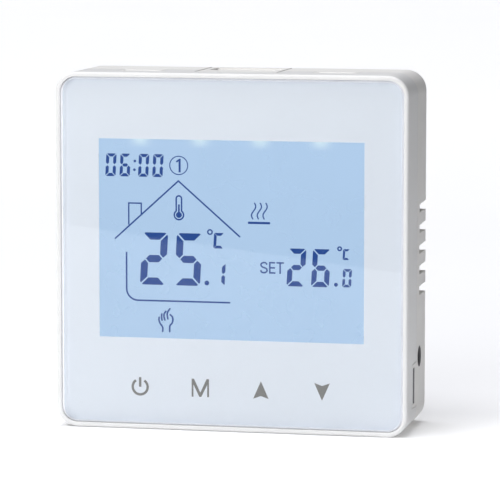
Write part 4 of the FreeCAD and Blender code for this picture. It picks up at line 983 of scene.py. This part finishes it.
def floor():
    """Pale table whose front edge shows as a faint change in the panel's reflection."""
    half, back = 5.0, 6.0
    corner_x, corner_y = 0.1, -0.25
    slanted_x, slanted_y = -0.6, -0.83
    front_edge = [(-half, slanted_y), (slanted_x, slanted_y), (corner_x, corner_y), (half, corner_y)]
    outline = front_edge + [(half, back), (-half, back)]
    made = slab("floor", outline, cad_low.z, thickness=0.02)
    made.data.materials.append(floor_look().material)


def floor_look():
    """Pale top that glows a little to stay evenly bright far off. Painted shade darkens it far to the right
    and takes its glow away where the thermostat stands; painted light fills the shadow beside the
    thermostat's right side.
    """
    look = Look("floor_look", Roughness=0.55, Emission_Strength=1.0)
    pale = look.ramp(look.noise(80.0), (0.3, (0.93, 0.93, 0.935)), (0.7, (0.95, 0.95, 0.955)))
    far_right = look.remap(look.axis("X"), 0.0, 1.0, 70.0, 350.0)
    # Painted shade: the floor turns grey far to the right.
    look.colour(look.mix(far_right, pale, (0.42, 0.42, 0.42)))
    away = look.remap(look.radius("X", "Y"), 0.12, 0.24, 150.0, 900.0)
    # Painted light: extra glow beside the thermostat's right side, filling its shadow.
    beside = look.remap(look.axis("X"), 0.0, 1.0, 31.0, 36.0)
    forward = look.remap(look.maths("MULTIPLY", look.axis("Y"), -1.0), 0.0, 0.18, -12.0, 12.0)
    glow_and_painted_fill = look.maths("ADD", away, look.maths("MULTIPLY", beside, forward))
    # Painted shade: far to the right the glow drops by this share.
    lost_far_right = 0.7
    shade_right = look.maths("MULTIPLY", far_right, lost_far_right)
    # Painted shade: no glow where the thermostat stands, and less far to the right.
    outside_painted_shade = look.maths("MULTIPLY", look.maths("SUBTRACT", 1.0, covered_floor(look)),
                          look.maths("SUBTRACT", 1.0, shade_right))
    look.feed(look.surface.inputs["Emission Color"], look.maths("MULTIPLY", glow_and_painted_fill, outside_painted_shade))
    return look


def covered_floor(look):
    """1 where the thermostat stands, fading to 0 under its rounded corner on the right: there the floor's
    glow is taken away as painted shade.
    """
    margin, fade_from, fade_to = 0.5, 34.0, 45.0
    right_of_left = look.maths("GREATER_THAN", look.axis("X"), cad_low.x / MM)
    across = look.maths("MULTIPLY", right_of_left, look.remap(look.axis("X"), 1.0, 0.0, fade_from, fade_to))
    along = look.between(look.axis("Y"), cad_low.y / MM - margin, cad_high.y / MM + margin)
    return look.maths("MULTIPLY", across, along)


class Sky:
    """The world's own nodes: the direction of view and simple arithmetic on it."""

    def __init__(self, name):
        world = bpy.data.worlds.new(name)
        world.use_nodes = True
        bpy.context.scene.world = world
        self.tree = world.node_tree
        self.background = self.tree.nodes["Background"]
        self.way = self.tree.nodes.new("ShaderNodeSeparateXYZ")
        place = self.tree.nodes.new("ShaderNodeTexCoord")
        self.tree.links.new(place.outputs["Generated"], self.way.inputs[0])

    def spread(self, axis, from_low, from_high, to_low, to_high):
        made = self.tree.nodes.new("ShaderNodeMapRange")
        self.tree.links.new(self.way.outputs[axis], made.inputs["Value"])
        ends = {"From Min": from_low, "From Max": from_high, "To Min": to_low, "To Max": to_high}
        for name, number in ends.items():
            made.inputs[name].default_value = number
        return made.outputs["Result"]

    def ramp(self, value, stops):
        made = self.tree.nodes.new("ShaderNodeValToRGB")
        self.tree.links.new(value, made.inputs[0])
        elements = made.color_ramp.elements
        while len(elements) < len(stops):
            elements.new(1.0)
        for element, (position, level) in zip(elements, stops):
            element.position = position
            element.color = opaque((level, level, level))
        return made.outputs["Color"]

    def combine(self, operation, first, second):
        made = self.tree.nodes.new("ShaderNodeMath")
        made.operation = operation
        self.tree.links.new(first, made.inputs[0])
        self.tree.links.new(second, made.inputs[1])
        return made.outputs[0]


def sky():
    """Studio surround: a pale band at the table's level, dim above it and to the right, pale far below."""
    made = Sky("studio")
    band = made.ramp(made.spread("Z", -0.2, 0.2, 0.0, 1.0),
                     [(0.0, 0.25), (0.21, 0.25), (0.36, 0.85), (0.5, 0.85), (0.7, 0.30)])
    upper = made.combine("MULTIPLY", band, made.spread("X", -0.3, 0.15, 1.0, 0.03))
    level = made.combine("MAXIMUM", upper, made.spread("Z", -0.165, -0.18, 0.0, 1.0))
    made.background.inputs["Color"].default_value = opaque((1, 1, 1))
    made.tree.links.new(level, made.background.inputs["Strength"])


def lights():
    """Broad light from overhead, and a large soft box in front, a little above and to the left."""
    overhead = bpy.data.lights.new("overhead", "SUN")
    overhead.energy = 2.42
    overhead.color = (0.98, 0.99, 1.04)
    overhead.angle = math.radians(52)
    soft_box = bpy.data.lights.new("soft_box", "AREA")
    soft_box.energy = 5.7
    soft_box.size = 0.9
    distance = 1.0
    for lamp, way in ((overhead, (-0.16, -0.08, 1.0)), (soft_box, (-0.30, -0.85, 0.42))):
        towards = Vector(way)
        made = bpy.data.objects.new(lamp.name, lamp)
        bpy.context.scene.collection.objects.link(made)
        made.rotation_euler = towards.to_track_quat("Z", "Y").to_euler()
        made.location = towards.normalized() * distance


def camera():
    """Camera a little above the thermostat and to its right, level across, far away with a long lens."""
    yaw, pitch = 12.2, -6.57
    distance = 783.3
    aim = Vector((0.0, -26.0, 0.0))
    right_of_aim, above_aim = 4.75, 0.96
    lens = bpy.data.cameras.new("camera")
    lens.sensor_width = 36.0
    lens.lens = 236.6
    lens.clip_end = 50.0                # metres
    made = bpy.data.objects.new("camera", lens)
    bpy.context.scene.collection.objects.link(made)
    bpy.context.scene.camera = made
    turn = Matrix.Rotation(math.radians(yaw), 3, "Z") @ Matrix.Rotation(math.radians(90 + pitch), 3, "X")
    place = aim + turn @ Vector((right_of_aim, above_aim, distance))
    made.matrix_world = Matrix.Translation(place * MM) @ turn.to_4x4()


# ---------------------------------------------------------------- the scene

shell_looks()
panel_look()
mask_look()
lit_glass_look()
display_layer_looks()
chip_looks()
plated_looks()
wound_looks()
sleeve_look()
resin_looks()
varistor_look()
dress(board_look("control_board_look"), "control_board")
dress(board_look("power_board_look"), "power_board")
part_layers("front_panel", "front_polariser", "lcd_front_glass")

crystal_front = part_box("lcd_rear_glass")[0].y / MM - 2 * MARK_T
print_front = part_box("panel_mask")[0].y / MM - 1.5 * MARK_T
liquid = mark_look("liquid_crystal_look", (0.018, 0.068, 0.284), (0.019, 0.070, 0.289))
for draw in (time_marks, badge_marks, house_marks, thermometer_marks, room_marks, set_marks, heating_marks,
             hand_marks):
    draw(liquid, crystal_front)
key_marks(key_look(), print_front)

floor()
sky()
lights()
camera()
bpy.context.scene.view_settings.view_transform = "Standard"
